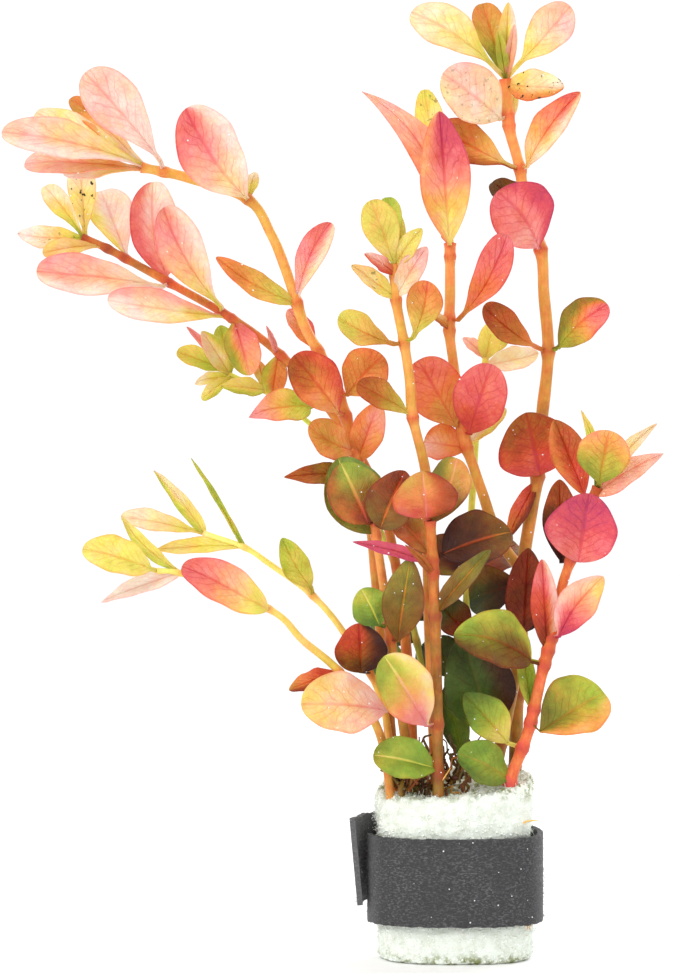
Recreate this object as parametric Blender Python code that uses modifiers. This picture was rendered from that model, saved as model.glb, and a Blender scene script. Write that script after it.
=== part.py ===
"""A bunch of rotala, an aquarium plant: twelve cut shoots in a plug of filter wool with a weight strip.

Modelled in metres, +Z up, standing on the plug. The origin is the middle of the plug's flat foot.
Sizes are named in millimetres. The bunch is seen from the front, from EYE, looking along +Y.
"""

import math

import bmesh
import bpy
from mathutils import Vector

MM = 0.001
CLEARANCE = 0.3

# Where the bunch is looked at from: a point in front of it, at half its height.
EYE = Vector((-18.6, -550.0, 75.9))

# The plug of filter wool, an oval barrel with a sloping top.
PLUG_HALF_WIDTH = 12.9
PLUG_HALF_DEPTH = 9.4
PLUG_HEIGHT = 28.4
PLUG_TOP_SLOPE_BACK = 0.2
PLUG_TOP_SLOPE_RIGHT = 0.08
PLUG_SIDES = 20
HOLE_TOOL_TOP = 50.0
HOLE_EXTRA = 0.1
OVAL_POWER = 2.4
# Each ring of the plug: its share of the height, and of the full half width.
PLUG_RINGS = ((0.0, 0.93), (0.045, 0.97), (0.21, 0.98), (0.5, 0.985), (0.74, 0.985), (0.95, 1.0), (1.0, 0.94))

# The weight strip, wound once round the plug, with its outer end standing off at the left.
STRIP_THICK = 1.0
STRIP_HEIGHT = 13.9
STRIP_FOOT = 6.2
STRIP_CLIMB = 2.8
STRIP_STEPS = 40
STRIP_OVERLAP_OFF = 1.6
TAB_REACH = 4.5
TAB_SPLAY = 1.3
# Shares of the way round: where the strip begins to stand off its own start, and where it climbs.
OVERLAP_START = 0.72
OVERLAP_POWER = 1.5
CLIMB_START = 0.4
CLIMB_END = 0.95

STEM_FOOT = 15.0
STEM_STEP = 11.0
STEM_SEARCH_STEP = 2.0
STEM_SIDES_STEP = 1
LEAF_THICK = 0.4
LEAF_BASE = 0.45
LEAF_ROUGHNESS = 0.45
STEM_ROUGHNESS = 0.5
WOOL_ROUGHNESS = 0.95
STRIP_ROUGHNESS = 0.6
# How far, in degrees, the face of a leaf that points sideways is tilted up, towards the light.
TILT_UP = 26.0
# Places along a leaf where it has a row of points, for a large leaf, a small one and a narrow one.
LARGE_ROWS = (0.0, 0.15, 0.38, 0.64, 0.9, 1.0)
SMALL_ROWS = (0.0, 0.28, 0.78, 1.0)
NARROW_ROWS = (0.0, 0.5, 1.0)
NARROW = 3.0

# A leaf's outline: where it is widest, and how blunt its base and its tip are.
ROUND = (0.47, 0.62, 0.5)
BROAD = (0.57, 0.7, 0.42)
OBLONG = (0.52, 0.55, 0.42)
PADDLE = (0.67, 0.85, 0.42)
OVAL = (0.5, 0.85, 0.62)
LANCE = (0.48, 0.9, 0.95)
WEDGE = (0.37, 0.6, 0.9)

# Colours of leaves and stems.
PINK = (0.86, 0.34, 0.38)
PEACH = (0.93, 0.62, 0.45)
CREAM = (0.93, 0.84, 0.62)
YELLOW = (0.88, 0.80, 0.30)
LIME = (0.66, 0.76, 0.25)
GREEN = (0.30, 0.45, 0.13)
OLIVE = (0.42, 0.38, 0.12)
AMBER = (0.80, 0.42, 0.16)
RED = (0.72, 0.20, 0.18)
MAROON = (0.40, 0.12, 0.12)
MAGENTA = (0.78, 0.10, 0.36)
WOOL = (0.90, 0.92, 0.86)
STRIP = (0.10, 0.10, 0.11)

FACING_LEFT = 180.0


def seen(x, y, z):
    """The point at depth y that is seen in front of (x, z) on the plane through the origin, in metres."""
    reach = 1.0 + y / -EYE.y
    return Vector((EYE.x + (x - EYE.x) * reach, y, EYE.z + (z - EYE.z) * reach)) * MM


def leaf(base, tip, width, colour, shape=OVAL, name=None, bow=0.8, cup=14.0, sway=0.0):
    """One leaf: base and tip as (x, depth behind its stem, z), and its width as seen.

    Bow arches its middle to the front, cup lifts its edges and sway bends it sideways.
    A leaf with a name is a piece of its own, and the others are fused to their stem.
    """
    return {
        "base": base, "tip": tip, "width": width, "colour": colour, "shape": shape, "name": name,
        "bow": bow, "cup": cup, "sway": sway,
    }


ARCHING_PATH = (
    (-9.5, 1.4, STEM_FOOT), (-9.8, 1.4, 28), (-11, 1, 42), (-12.2, 0.6, 56), (-13.6, 0.2, 70),
    (-17, -0.4, 85), (-20, -0.8, 94), (-23.9, -1.2, 101), (-25.5, -1.4, 105.5), (-27.5, -1.7, 111.5),
    (-29.6, -2, 116.5), (-33.3, -2.4, 122.1), (-43, -3, 125.6), (-50.5, -3.5, 127.3),
)
ARCHING_LEAVES = (
    leaf((-47.4, -1.7, 128.2), (-59.6, -6.5, 142.5), 8.6, PINK, PADDLE, "arching_leaf_crown", bow=1.4),
    leaf((-33.6, -2.2, 122.4), (-43.4, -6.8, 136.7), 10.4, PINK, BROAD, "arching_leaf_broad",
         bow=1.6, sway=-1.3),
    leaf((-18.8, -3, 87.8), (-26, -6, 97), 8.2, OLIVE, BROAD, "arching_leaf_brown"),
    leaf((-17.4, -1.9, 90.6), (-11.6, -3.6, 97), 8, AMBER, BROAD, "arching_leaf_amber"),
    leaf((-50, 0, 127.4), (-73, -3.4, 132.9), 6, PEACH, PADDLE, bow=1.6, sway=0.4),
    leaf((-50.3, 0, 127.1), (-69.6, 3.4, 128.4), 4.4, AMBER, PADDLE),
    leaf((-50, 0, 127.4), (-67.5, 8.5, 136), 4.8, YELLOW, PADDLE),
    leaf((-50.2, 0, 127), (-63, 7.4, 126.6), 3.6, CREAM, PADDLE),
    leaf((-50, 0, 127.4), (-61.8, 8.5, 138.4), 4, AMBER, PADDLE),
    leaf((-33.3, 0, 122.2), (-32.2, 4.2, 126.4), 2.2, YELLOW),
    leaf((-25.5, 0, 105.2), (-38.5, -3.4, 112.8), 4, OLIVE, bow=1.2, sway=-1.1),
    leaf((-25.5, 0, 105.3), (-20.3, -3.4, 118.2), 4.8, MAGENTA, PADDLE, sway=-0.8),
    leaf((-22.6, 0, 98), (-26.8, 5.9, 104.4), 3.6, PINK),
    leaf((-15.6, -0.1, 80.2), (-12.2, -3.9, 89.2), 5.4, PEACH, OBLONG),
    leaf((-16, -0.1, 81.5), (-23.6, -4, 85.6), 6, AMBER, BROAD, sway=-0.8),
    leaf((-15, 0, 77.5), (-27.5, -3.8, 77.4), 3.8, AMBER, LANCE),
)

PINK_PATH = (
    (-6.5, 4.5, STEM_FOOT), (-6.6, 4.9, 28), (-7.5, 6, 45), (-9, 7.4, 60), (-12.5, 9, 75), (-20, 10.8, 88),
    (-28, 12, 97), (-36, 13, 103), (-46, 13.8, 108.7), (-56, 14.2, 114.2), (-60, 14.4, 116),
)
PINK_LEAVES = (
    leaf((-47, -1.5, 108), (-67.4, -6.6, 110.5), 6.8, PEACH, PADDLE, "pink_leaf_low_left",
         bow=1.2, sway=-0.3),
    leaf((-37.6, -1.9, 104.8), (-47, -7.4, 120.8), 7.8, PINK, PADDLE, "pink_leaf_broad", bow=1.4, sway=-1.4),
    leaf((-46.5, 1.9, 109.8), (-48.6, 3.1, 124.9), 9, CREAM, OBLONG, "pink_leaf_folded", cup=24, sway=-1),
    leaf((-23.4, -1.6, 88.6), (-33.2, -4.8, 87), 5.4, LIME, WEDGE, "pink_leaf_low", sway=0.6),
    leaf((-59.5, 0, 115.6), (-60.4, 0, 128.4), 4.8, PEACH, PADDLE),
    leaf((-59.8, 0, 116), (-66, 5.1, 124.2), 4, YELLOW, PADDLE),
    leaf((-59.8, 0, 115.9), (-70.4, 3.4, 116.6), 3.8, CREAM, sway=-0.8),
    leaf((-52.6, 0, 112.2), (-57, 6.4, 123.4), 7.6, CREAM, PADDLE),
    leaf((-37, 0, 103.3), (-56, -9.3, 105.9), 5.8, PEACH, PADDLE, bow=1.2, sway=-0.8),
    leaf((-35.6, 0, 102.6), (-33, -4.2, 93.8), 6, RED, BROAD),
    leaf((-28.4, 0, 97.2), (-29.4, 2.5, 90.6), 4.4, AMBER),
    leaf((-28.8, 0, 97.4), (-30.4, -4.2, 101.8), 1, PINK),
    leaf((-7.6, 0, 46), (-14.5, 6.8, 49), 6, GREEN),
    leaf((-57, 0, 114.6), (-66.4, -2.5, 113.4), 3.4, YELLOW, PADDLE),
)

GREEN_PATH = (
    (-2.5, 6.4, STEM_FOOT), (-2.6, 7, 28), (-5, 10, 45), (-8, 12.4, 58), (-12.5, 14.8, 70), (-17.5, 16.8, 80),
    (-24.5, 18.2, 87), (-30.5, 19, 91.2), (-36.5, 19.6, 94),
)
GREEN_LEAVES = (
    leaf((-36.3, 0, 94), (-44.8, -1.7, 97.6), 3.6, LIME, PADDLE),
    leaf((-36.3, 0, 94), (-40.8, -3.4, 100.9), 3.8, CREAM),
    leaf((-36.2, 0, 93.9), (-37.8, 4.2, 101.8), 4.4, LIME),
    leaf((-36.3, 0, 93.9), (-43.2, 4.2, 101.6), 1.3, PINK),
    leaf((-35.8, 0, 93.7), (-40.7, -3.4, 89.8), 2.2, LIME, PADDLE),
    leaf((-36, 0, 93.8), (-41.8, 4.2, 92.4), 2, LIME),
    leaf((-30.5, 0, 91.2), (-37.6, -3.1, 92), 3, LIME),
    leaf((-30.5, 0, 91.2), (-31.8, 4.6, 96), 2.4, LIME),
    leaf((-6.2, -0.1, 51), (-14, 6.6, 52.5), 6, GREEN),
    leaf((-7, 0, 54.2), (-3, 6.1, 57.5), 5, OLIVE),
    leaf((-12.6, 0, 70.3), (-18.4, 5.1, 74), 5, OLIVE),
    leaf((-12.4, 0, 70.3), (-6.5, 5.1, 75), 5, GREEN),
)

SLIM_PATH = (
    (-2.5, -1.3, STEM_FOOT), (-3, -1.6, 28), (-4, -3, 50), (-4.5, -5, 70), (-4.7, -6.4, 78), (-6.8, -7.4, 87),
    (-7.3, -8, 93), (-8.2, -8.6, 99), (-9.5, -9.4, 106), (-9.8, -10, 111.8),
)
SLIM_LEAVES = (
    leaf((-6.8, -1.6, 99.8), (-4.4, -4.6, 109), 6, AMBER, PADDLE, "slim_leaf_orange", sway=0.6),
    leaf((-9.7, -1.2, 98.8), (-18.8, -2.6, 103.2), 5, AMBER, PADDLE, "slim_leaf_amber", sway=-0.9),
    leaf((-9.7, 0, 111), (-13.6, -3.4, 122), 6.2, CREAM, PADDLE),
    leaf((-9.8, 0, 111.3), (-10.8, 5.1, 122.4), 4, LIME, PADDLE),
    leaf((-9.8, 0, 111.3), (-5.3, -1.7, 117.4), 3.4, YELLOW),
    leaf((-9.5, 0, 106.3), (-4.5, -2.6, 114.5), 4.2, PEACH),
    leaf((-9.5, 0, 106), (-16.7, -1.7, 111.5), 3, LIME),
    leaf((-9.7, 0, 110), (-14.6, -3.4, 113.4), 2.2, RED),
    leaf((-9.7, 0, 111), (-9, 5.9, 119.8), 2.8, LIME),
    leaf((-6.8, 0, 87.2), (-15.8, -2.6, 92.4), 4.6, AMBER, PADDLE),
)

CENTRE_PATH = (
    (6, 1, STEM_FOOT), (6.3, 1, 28), (8, 1, 37), (10, 0.8, 47), (11, 0.4, 55), (10.8, 0, 61.5), (8, 0, 66),
    (6, 0, 70), (4.7, 0, 74), (3, 0, 79), (1.3, 0.2, 84.5), (-0.3, 0.8, 96), (-0.9, 1.2, 101),
    (-0.8, 1.8, 107), (-0.8, 2.8, 115),
)
CENTRE_LEAVES = (
    leaf((-1.9, 1.1, 116.2), (-15, 0.9, 139.5), 5.4, PEACH, LANCE, "centre_leaf_long", sway=4),
    leaf((-0.9, -1.6, 114.8), (-2.5, -4, 136.3), 8.4, PINK, OVAL, "centre_leaf_pink", bow=1.2),
    leaf((0.4, -1.4, 102.6), (8.4, -4.1, 116.4), 5.8, PINK, PADDLE, "centre_leaf_right", bow=1, sway=1.2),
    leaf((0.1, -1.4, 85.6), (-6, -2.2, 96.2), 9.2, RED, BROAD, "centre_leaf_low_left", cup=5),
    leaf((2.4, -1.7, 84.4), (5.9, -6.5, 95.6), 8.8, PINK, BROAD, "centre_leaf_low_right", cup=5, bow=1.4),
    leaf((11, -2, 52), (11.8, -4, 66), 6.8, MAROON, OVAL, "centre_leaf_dark"),
    leaf((6, -1.8, 36), (1.2, -4.7, 52), 11.5, GREEN, OVAL, "centre_leaf_green"),
    leaf((-0.3, 0.5, 113.6), (-4.9, 14.1, 139.8), 5.6, YELLOW, PADDLE, bow=-1.6),
    leaf((-0.9, 0, 101.2), (-4, -1.7, 104), 1.6, AMBER),
    leaf((1.9, 0, 81.8), (-5, 2.5, 83), 6.2, AMBER, BROAD),
    leaf((1.9, 0, 82.4), (8.2, 4.2, 88.4), 3.2, YELLOW),
    leaf((10.6, 0, 60), (2.4, 4, 57.6), 8, MAROON, BROAD),
)

BACK_PATH = (
    (1, 6.4, STEM_FOOT), (1.2, 7, 28), (1.5, 10, 45), (2, 13.4, 60), (3.5, 19, 85), (5, 21.6, 97),
)
BACK_LEAVES = (
    leaf((4.9, 0, 96.3), (6.5, -3.4, 103), 4, LIME),
    leaf((4.9, 0, 96.4), (1.3, 2.5, 99.8), 2, PINK),
    leaf((4.9, 0.2, 95.4), (13.4, 3.6, 97.4), 4, CREAM, sway=0.6),
    leaf((4.9, 0, 96.4), (9, 6, 101), 3, LIME),
    leaf((2.1, 0, 62), (-6, 6.1, 66.5), 7, MAROON, ROUND),
    leaf((2.1, 0, 62), (10, 7, 66.5), 7, OLIVE, ROUND),
    leaf((1.5, -0.1, 46), (-5.6, 6.3, 50), 7, GREEN, ROUND),
    leaf((1.5, -0.1, 46), (8.6, 6.3, 50.5), 7, GREEN, ROUND),
    leaf((1.2, 0, 32), (-1.4, 1.2, 44), 5, GREEN),
    leaf((1.8, 0, 52), (-3.4, 1.2, 57.6), 6, MAROON, ROUND),
)

TALL_PATH = (
    (9.5, 3.5, STEM_FOOT), (9.6, 3.7, 28), (9.9, 4.1, 37), (10.2, 4.8, 50), (10.5, 5.3, 60), (12.3, 6, 72),
    (13.3, 6.3, 77.5), (14, 6.8, 87), (15, 7.3, 97.5), (14.3, 7.8, 107), (13.8, 8, 114), (11, 8.2, 124),
    (10.5, 8.2, 127), (9.7, 8.2, 130), (8.7, 8, 134), (8.2, 7.6, 141.5),
)
TALL_LEAVES = (
    leaf((6.3, -1.8, 143.4), (-7.1, -5.5, 152.2), 7, CREAM, PADDLE, "tall_leaf_top_left", bow=1.2, sway=0.6),
    leaf((10.2, -1.6, 143.8), (18.6, -5.7, 153.2), 7.2, PEACH, PADDLE, "tall_leaf_top_right",
         bow=1.2, sway=0.5),
    leaf((11.6, -1.6, 127.4), (20.2, -6.5, 139.4), 5.6, LIME, OVAL, "tall_leaf_upper_right",
         cup=25, sway=-0.6),
    leaf((7.3, -1.7, 135), (-2, -7, 142.4), 9.4, PINK, BROAD, "tall_leaf_pale", bow=1),
    leaf((9.1, -1.8, 127.4), (-2.8, -3.4, 133.6), 6.8, RED, PADDLE, "tall_leaf_red", bow=1.2, sway=-0.7),
    leaf((13.4, -2, 114.4), (6.8, -7.1, 123.4), 11.2, PINK, BROAD, "tall_leaf_round", bow=1, sway=0.7),
    leaf((13.4, -1.6, 98.2), (4.6, -5.7, 105), 5, MAROON, PADDLE, "tall_leaf_maroon", sway=-0.9),
    leaf((16.7, -1.6, 98.3), (24.6, -5.7, 105.2), 6.8, PINK, BROAD, "tall_leaf_right", sway=-0.4),
    leaf((13.6, -2.2, 77.9), (11.4, -7, 87.8), 12.6, MAROON, ROUND, "tall_leaf_broad"),
    leaf((8.2, 0, 141), (4.4, 6, 153.6), 5.6, AMBER, PADDLE),
    leaf((8.2, 0, 141), (8.6, 3.4, 153.8), 3.4, YELLOW),
    leaf((8.2, 0, 141), (6.9, -0.8, 149.5), 2, LIME),
    leaf((8.3, 0, 141), (9.6, -0.8, 150.3), 1.6, PINK),
    leaf((8.3, 0, 140.8), (17.6, -5.1, 140.2), 5.4, YELLOW, sway=0.7),
    leaf((8.7, 0, 134.2), (9.8, 3.4, 140.3), 2, YELLOW),
    leaf((12.2, 0, 119.8), (6, 5.1, 124.8), 4.4, MAROON, BROAD),
    leaf((13.2, 0, 77), (8.2, -2.5, 67), 3, AMBER, LANCE),
    leaf((10.2, 0, 52), (14, 9.4, 58), 5.5, MAROON),
    leaf((10, 0, 42), (3.4, 7.6, 40), 5, GREEN),
)

RIGHT_PATH = (
    (8.3, -4.8, STEM_FOOT), (8.6, -4.9, 24), (8.8, -5, 28.3), (11.5, -6.2, 35.5), (12.7, -7, 40),
    (13.8, -8, 45), (15, -9, 49.5), (16.2, -10, 54), (17.3, -11.2, 60), (18.6, -12, 64), (20.5, -13, 70),
    (23, -13.8, 75.8),
)
RIGHT_LEAVES = (
    leaf((23.2, -1.4, 76.4), (24.9, -3.3, 84.9), 8.4, LIME, BROAD, "right_leaf_green"),
    leaf((19.9, -2, 63.8), (21.6, -4.5, 74.8), 11.4, MAGENTA, ROUND, "right_leaf_magenta"),
    leaf((17.2, 1.9, 63.6), (16.8, 4.6, 77), 5.8, MAROON, OVAL, "right_leaf_brown"),
    leaf((20.8, 1.8, 74.4), (16, 4.7, 86.6), 5.8, AMBER, OVAL, "right_leaf_amber"),
    leaf((16.7, -2.1, 51.8), (23.9, -5.1, 61.4), 6.2, MAGENTA, OVAL, "right_leaf_bright", sway=-0.4),
    leaf((13.7, -2.2, 36.4), (24, 1, 42.6), 10.2, GREEN, BROAD, "right_leaf_low"),
    leaf((8.5, 0.6, 34.6), (1.4, -0.6, 42.5), 6.6, LIME, OVAL, "right_leaf_light_green"),
    leaf((12.2, -1.4, 47.8), (-0.2, -4.6, 52), 8.6, YELLOW, ROUND, "right_leaf_curled", sway=1.2),
    leaf((22.6, 0, 74.8), (33.6, -1.7, 81.2), 4.2, PEACH, WEDGE),
    leaf((22.8, 0, 75.4), (20.3, 3.4, 88.2), 1.8, LIME, LANCE, sway=0.8),
    leaf((22.8, 0, 75.4), (32.5, 5.1, 86), 2.4, CREAM, LANCE, sway=-0.4),
    leaf((14.8, 0.1, 49.4), (14, -3.8, 64.2), 4.6, PINK),
    leaf((12.5, 0, 39.4), (10.6, 3.9, 50.3), 3, GREEN),
    leaf((8.8, 0, 28.8), (0.4, -4.8, 33), 6.8, GREEN, BROAD),
)

SHORT_PATH = (
    (-6.5, -3, STEM_FOOT), (-7, -3, 28), (-9.5, -4, 45), (-11.3, -5, 58.5), (-12.7, -5.8, 68), (-13, -6, 71),
)
SHORT_LEAVES = (
    leaf((-14.1, -1.9, 70), (-18.4, -1.9, 79.6), 9, OLIVE, ROUND, "short_leaf_left", cup=0),
    leaf((-12.8, 0, 68.4), (-18.8, 1.2, 80.4), 10.2, GREEN, ROUND, sway=-0.5),
    leaf((-12, -1.9, 69.2), (-8, -6.3, 78.4), 8, MAROON, ROUND, "short_leaf_right"),
    leaf((-12.2, -1.6, 53.6), (-15.1, -2, 59.4), 6.2, GREEN, ROUND, "short_leaf_green", bow=0.3, cup=5),
    leaf((-9.2, -1.7, 51), (-7.2, -7, 64.3), 6.8, OLIVE, OVAL, "short_leaf_olive"),
)

FRONT_PATH = (
    (-2.6, -6.2, STEM_FOOT), (-2.7, -6.5, 28), (-3, -9, 45), (-3.2, -10.4, 55), (-3.5, -11.4, 62),
    (-4, -12.4, 70.4),
)
FRONT_LEAVES = (
    leaf((-4.6, -1.6, 70.9), (-5.2, -4, 78.4), 10.3, RED, ROUND, "front_leaf_top"),
    leaf((-2, 1.6, 65), (9, 5, 68.5), 8.8, MAROON, ROUND, "front_leaf_dark"),
    leaf((-4.6, -1.8, 37.4), (-11.4, -6.3, 48.6), 9, PINK, BROAD, "front_leaf_pink_green"),
    leaf((-4, 0, 69.8), (0.3, 2.5, 80.4), 7, OLIVE, BROAD, sway=0.7),
    leaf((-3.2, 0, 55.4), (5.7, -3.4, 65.7), 3.5, OLIVE),
    leaf((-3.6, 0, 63.5), (-16.5, 0.7, 67), 2, MAGENTA, LANCE),
    leaf((-3.5, 0, 61.5), (-8, -3.5, 66.5), 1.4, AMBER, LANCE),
    leaf((-2.7, -0.1, 30.4), (-13.2, -2.3, 32.6), 6.8, GREEN, BROAD),
    leaf((-3.6, 0, 64.5), (-9.4, 6.6, 71), 5, OLIVE, BROAD),
)

UPPER_RUNNER_PATH = (
    (-9.6, -1.9, STEM_FOOT), (-9.8, -2, 28), (-12, -1.4, 42), (-17.8, 0, 52.2), (-22.9, 1.4, 58.3),
    (-29.8, 3, 63.4), (-33.9, 3.8, 66.1), (-40.5, 4.6, 68.4),
)
UPPER_RUNNER_LEAVES = (
    leaf((-23.2, -1.5, 59.6), (-27.9, -4, 67.6), 4.8, OLIVE, OVAL, "runner_leaf_olive", sway=-0.5),
    leaf((-15.1, -2.7, 46), (-15.5, -4.6, 53.9), 8.6, RED, ROUND, "runner_leaf_red_brown"),
    leaf((-34, 0, 66.2), (-48, 3.4, 65.7), 2.6, LIME, OVAL),
    leaf((-34, 0, 66.2), (-42.5, 3.4, 80.5), 0.9, CREAM, LANCE),
    leaf((-40.3, 0, 68.4), (-48.5, 1.7, 78.5), 2.6, LIME, WEDGE),
    leaf((-40.2, 0, 68.3), (-53.8, -1.7, 71), 3.6, PEACH, PADDLE),
)

LOWER_RUNNER_PATH = (
    (-9.9, -5, STEM_FOOT), (-10.6, -5, 28), (-12.7, -7, 37.5), (-18.6, -10, 46), (-24.6, -12.4, 51.2),
    (-28.4, -13.6, 55.2), (-36, -15.4, 59.2), (-44.5, -17, 62), (-48, -17.4, 62.3),
)
LOWER_RUNNER_LEAVES = (
    leaf((-30.2, -1.4, 56), (-44, -4.8, 63), 6.6, PINK, OBLONG, "runner_leaf_pink"),
    leaf((-49, -1, 62.6), (-60, -3.4, 65.8), 5.8, LIME, OBLONG, "runner_leaf_green"),
    leaf((-11, -2.3, 39.8), (-24.8, -6.3, 40.8), 9.8, PINK, BROAD, "runner_leaf_pink_green"),
    leaf((-44.3, 0.1, 62), (-57, 3.3, 57.2), 3, CREAM, WEDGE),
    leaf((-44.3, 0.1, 62), (-53.7, 3.4, 71.2), 2.2, LIME, LANCE, sway=-1.2),
    leaf((-18.8, 0, 45.9), (-26.7, 0.8, 43.1), 3, AMBER),
)

# Each shoot: its path, its thickness at the foot and at the tip, its colour and its leaves.
SHOOTS = {
    "arching_stem": (ARCHING_PATH, 2.1, 1.5, AMBER, ARCHING_LEAVES),
    "pink_stem": (PINK_PATH, 1.9, 1.3, RED, PINK_LEAVES),
    "green_stem": (GREEN_PATH, 1.2, 0.8, LIME, GREEN_LEAVES),
    "slim_stem": (SLIM_PATH, 1.9, 1.5, AMBER, SLIM_LEAVES),
    "centre_stem": (CENTRE_PATH, 2.1, 1.6, RED, CENTRE_LEAVES),
    "back_stem": (BACK_PATH, 1.6, 1.0, OLIVE, BACK_LEAVES),
    "tall_stem": (TALL_PATH, 2.3, 1.8, RED, TALL_LEAVES),
    "right_stem": (RIGHT_PATH, 2.1, 1.5, RED, RIGHT_LEAVES),
    "short_stem": (SHORT_PATH, 1.8, 1.4, AMBER, SHORT_LEAVES),
    "front_stem": (FRONT_PATH, 1.9, 1.6, RED, FRONT_LEAVES),
    "upper_runner_stem": (UPPER_RUNNER_PATH, 1.3, 0.9, YELLOW, UPPER_RUNNER_LEAVES),
    "lower_runner_stem": (LOWER_RUNNER_PATH, 1.7, 0.8, YELLOW, LOWER_RUNNER_LEAVES),
}


def clear_scene():
    for thing in list(bpy.data.objects):
        bpy.data.objects.remove(thing, do_unlink=True)


def new_collection(name):
    collection = bpy.data.collections.new(name)
    bpy.context.scene.collection.children.link(collection)
    return collection


def finish(thing, colour, roughness):
    """Give an object its own material."""
    material = bpy.data.materials.new(thing.name)
    material.use_nodes = True
    shader = material.node_tree.nodes["Principled BSDF"]
    shader.inputs["Base Color"].default_value = (*colour, 1.0)
    shader.inputs["Roughness"].default_value = roughness
    thing.data.materials.clear()
    thing.data.materials.append(material)


def new_object(name, data, collection):
    thing = bpy.data.objects.new(name, data)
    collection.objects.link(thing)
    return thing


def made_mesh(thing):
    """Replace an object by a plain mesh of its evaluated shape. A curve's loose caps are welded on."""
    bpy.context.view_layer.update()
    evaluated = thing.evaluated_get(bpy.context.evaluated_depsgraph_get())
    mesh = bpy.data.meshes.new_from_object(evaluated)
    mesh.name = thing.name
    if thing.type == "CURVE":
        welded = bmesh.new()
        welded.from_mesh(mesh)
        bmesh.ops.remove_doubles(welded, verts=welded.verts, dist=0.002 * MM)
        welded.to_mesh(mesh)
        welded.free()
    name = thing.name
    collection = thing.users_collection[0]
    bpy.data.objects.remove(thing, do_unlink=True)
    return new_object(name, mesh, collection)


def smooth_path(points, step):
    """Points about a step apart on a smooth curve through the given points."""
    ends = [points[0] * 2 - points[1], *points, points[-1] * 2 - points[-2]]
    path = []
    for index in range(1, len(ends) - 2):
        before, start, end, after = ends[index - 1 : index + 3]
        count = max(1, round((end - start).length / step))
        for number in range(count):
            t = number / count
            bend = (end - before) * t + (before * 2 - start * 5 + end * 4 - after) * t**2
            path.append(start + (bend + (start * 3 - before - end * 3 + after) * t**3) * 0.5)
    path.append(points[-1].copy())
    return path


def tube(name, points, radii, collection):
    """A round stem along a path, with a radius for each point."""
    curve = bpy.data.curves.new(name, "CURVE")
    curve.dimensions = "3D"
    curve.bevel_depth = 1.0
    curve.bevel_resolution = STEM_SIDES_STEP
    curve.use_fill_caps = True
    spline = curve.splines.new("POLY")
    spline.points.add(len(points) - 1)
    for place, point, radius in zip(spline.points, points, radii):
        place.co = (*point, 1.0)
        place.radius = radius
    return made_mesh(new_object(name, curve, collection))


def stem(name, path, foot_thick, tip_thick, collection, spare=0.0):
    """A shoot's stem, which thins towards its tip. Spare widens it, for the hole that it stands in."""
    points = smooth_path([seen(*place) for place in path], STEM_STEP * MM)
    count = len(points) - 1
    thick = [foot_thick + (tip_thick - foot_thick) * index / count for index in range(count + 1)]
    radii = [(size / 2 + spare) * MM for size in thick]
    if spare:
        inside = [index for index, point in enumerate(points) if point.z < HOLE_TOOL_TOP * MM]
        points = [points[index] for index in inside]
        radii = [radii[index] for index in inside]
        points[0] = points[0] - Vector((0, 0, spare * MM))
    return tube(name, points, radii, collection)


def leaf_share(t, shape):
    """The half width of a leaf at t along it, as a share of its largest half width."""
    widest, base_power, tip_power = shape
    phase = math.pi * t ** (math.log(0.5) / math.log(widest))
    return max(0.0, math.sin(phase)) ** (base_power + (tip_power - base_power) * t)


def beside_stem(spec, path):
    """A leaf's base and tip as seen, with their depth counted from the stem beside the base."""
    places = smooth_path([Vector(place) for place in path], STEM_SEARCH_STEP)
    x, depth, z = spec["base"]
    stem_place = min(places, key=lambda place: (place.x - x) ** 2 + (place.z - z) ** 2)
    tip_x, tip_depth, tip_z = spec["tip"]
    return seen(x, stem_place.y + depth, z), seen(tip_x, stem_place.y + tip_depth, tip_z)


def leaf_point(spec, base, tip, t, side):
    """The point of a leaf at t along its length and at side, -1 to 1, across it."""
    along = (tip - base).normalized()
    to_eye = (EYE * MM - (base + tip) / 2).normalized()
    face = (to_eye - along * to_eye.dot(along)).normalized()
    right = along.cross(face)
    roll = math.radians(TILT_UP) * right.z
    normal = face * math.cos(roll) + right * math.sin(roll)
    across = right * math.cos(roll) - face * math.sin(roll)
    half = spec["width"] / 2 / math.cos(roll) * leaf_share(t, spec["shape"])
    if t < 0.5:
        half = max(half, LEAF_BASE)
    arch = 4 * t * (1 - t)
    cup = math.radians(spec["cup"])
    lift = spec["bow"] * arch + half * math.sin(cup) * abs(side)
    shift = spec["sway"] * arch + half * math.cos(cup) * side
    return base.lerp(tip, t) + (normal * lift + across * shift) * MM


def leaf_blade(name, spec, path, rows, collection):
    """One thin leaf: a grid laid over the leaf's form and given its thickness."""
    base, tip = beside_stem(spec, path)
    blade = bmesh.new()
    bmesh.ops.create_grid(blade, x_segments=2, y_segments=len(rows) - 1, size=1.0)
    for corner in blade.verts:
        row = round((corner.co.y + 1) / 2 * (len(rows) - 1))
        corner.co = leaf_point(spec, base, tip, rows[row], corner.co.x)
    bmesh.ops.remove_doubles(blade, verts=blade.verts, dist=0.01 * MM)
    bmesh.ops.recalc_face_normals(blade, faces=blade.faces)
    mesh = bpy.data.meshes.new(name)
    blade.to_mesh(mesh)
    blade.free()
    thing = new_object(name, mesh, collection)
    skin = thing.modifiers.new("thickness", "SOLIDIFY")
    skin.thickness = LEAF_THICK * MM
    skin.offset = 0.0
    return thing


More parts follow.
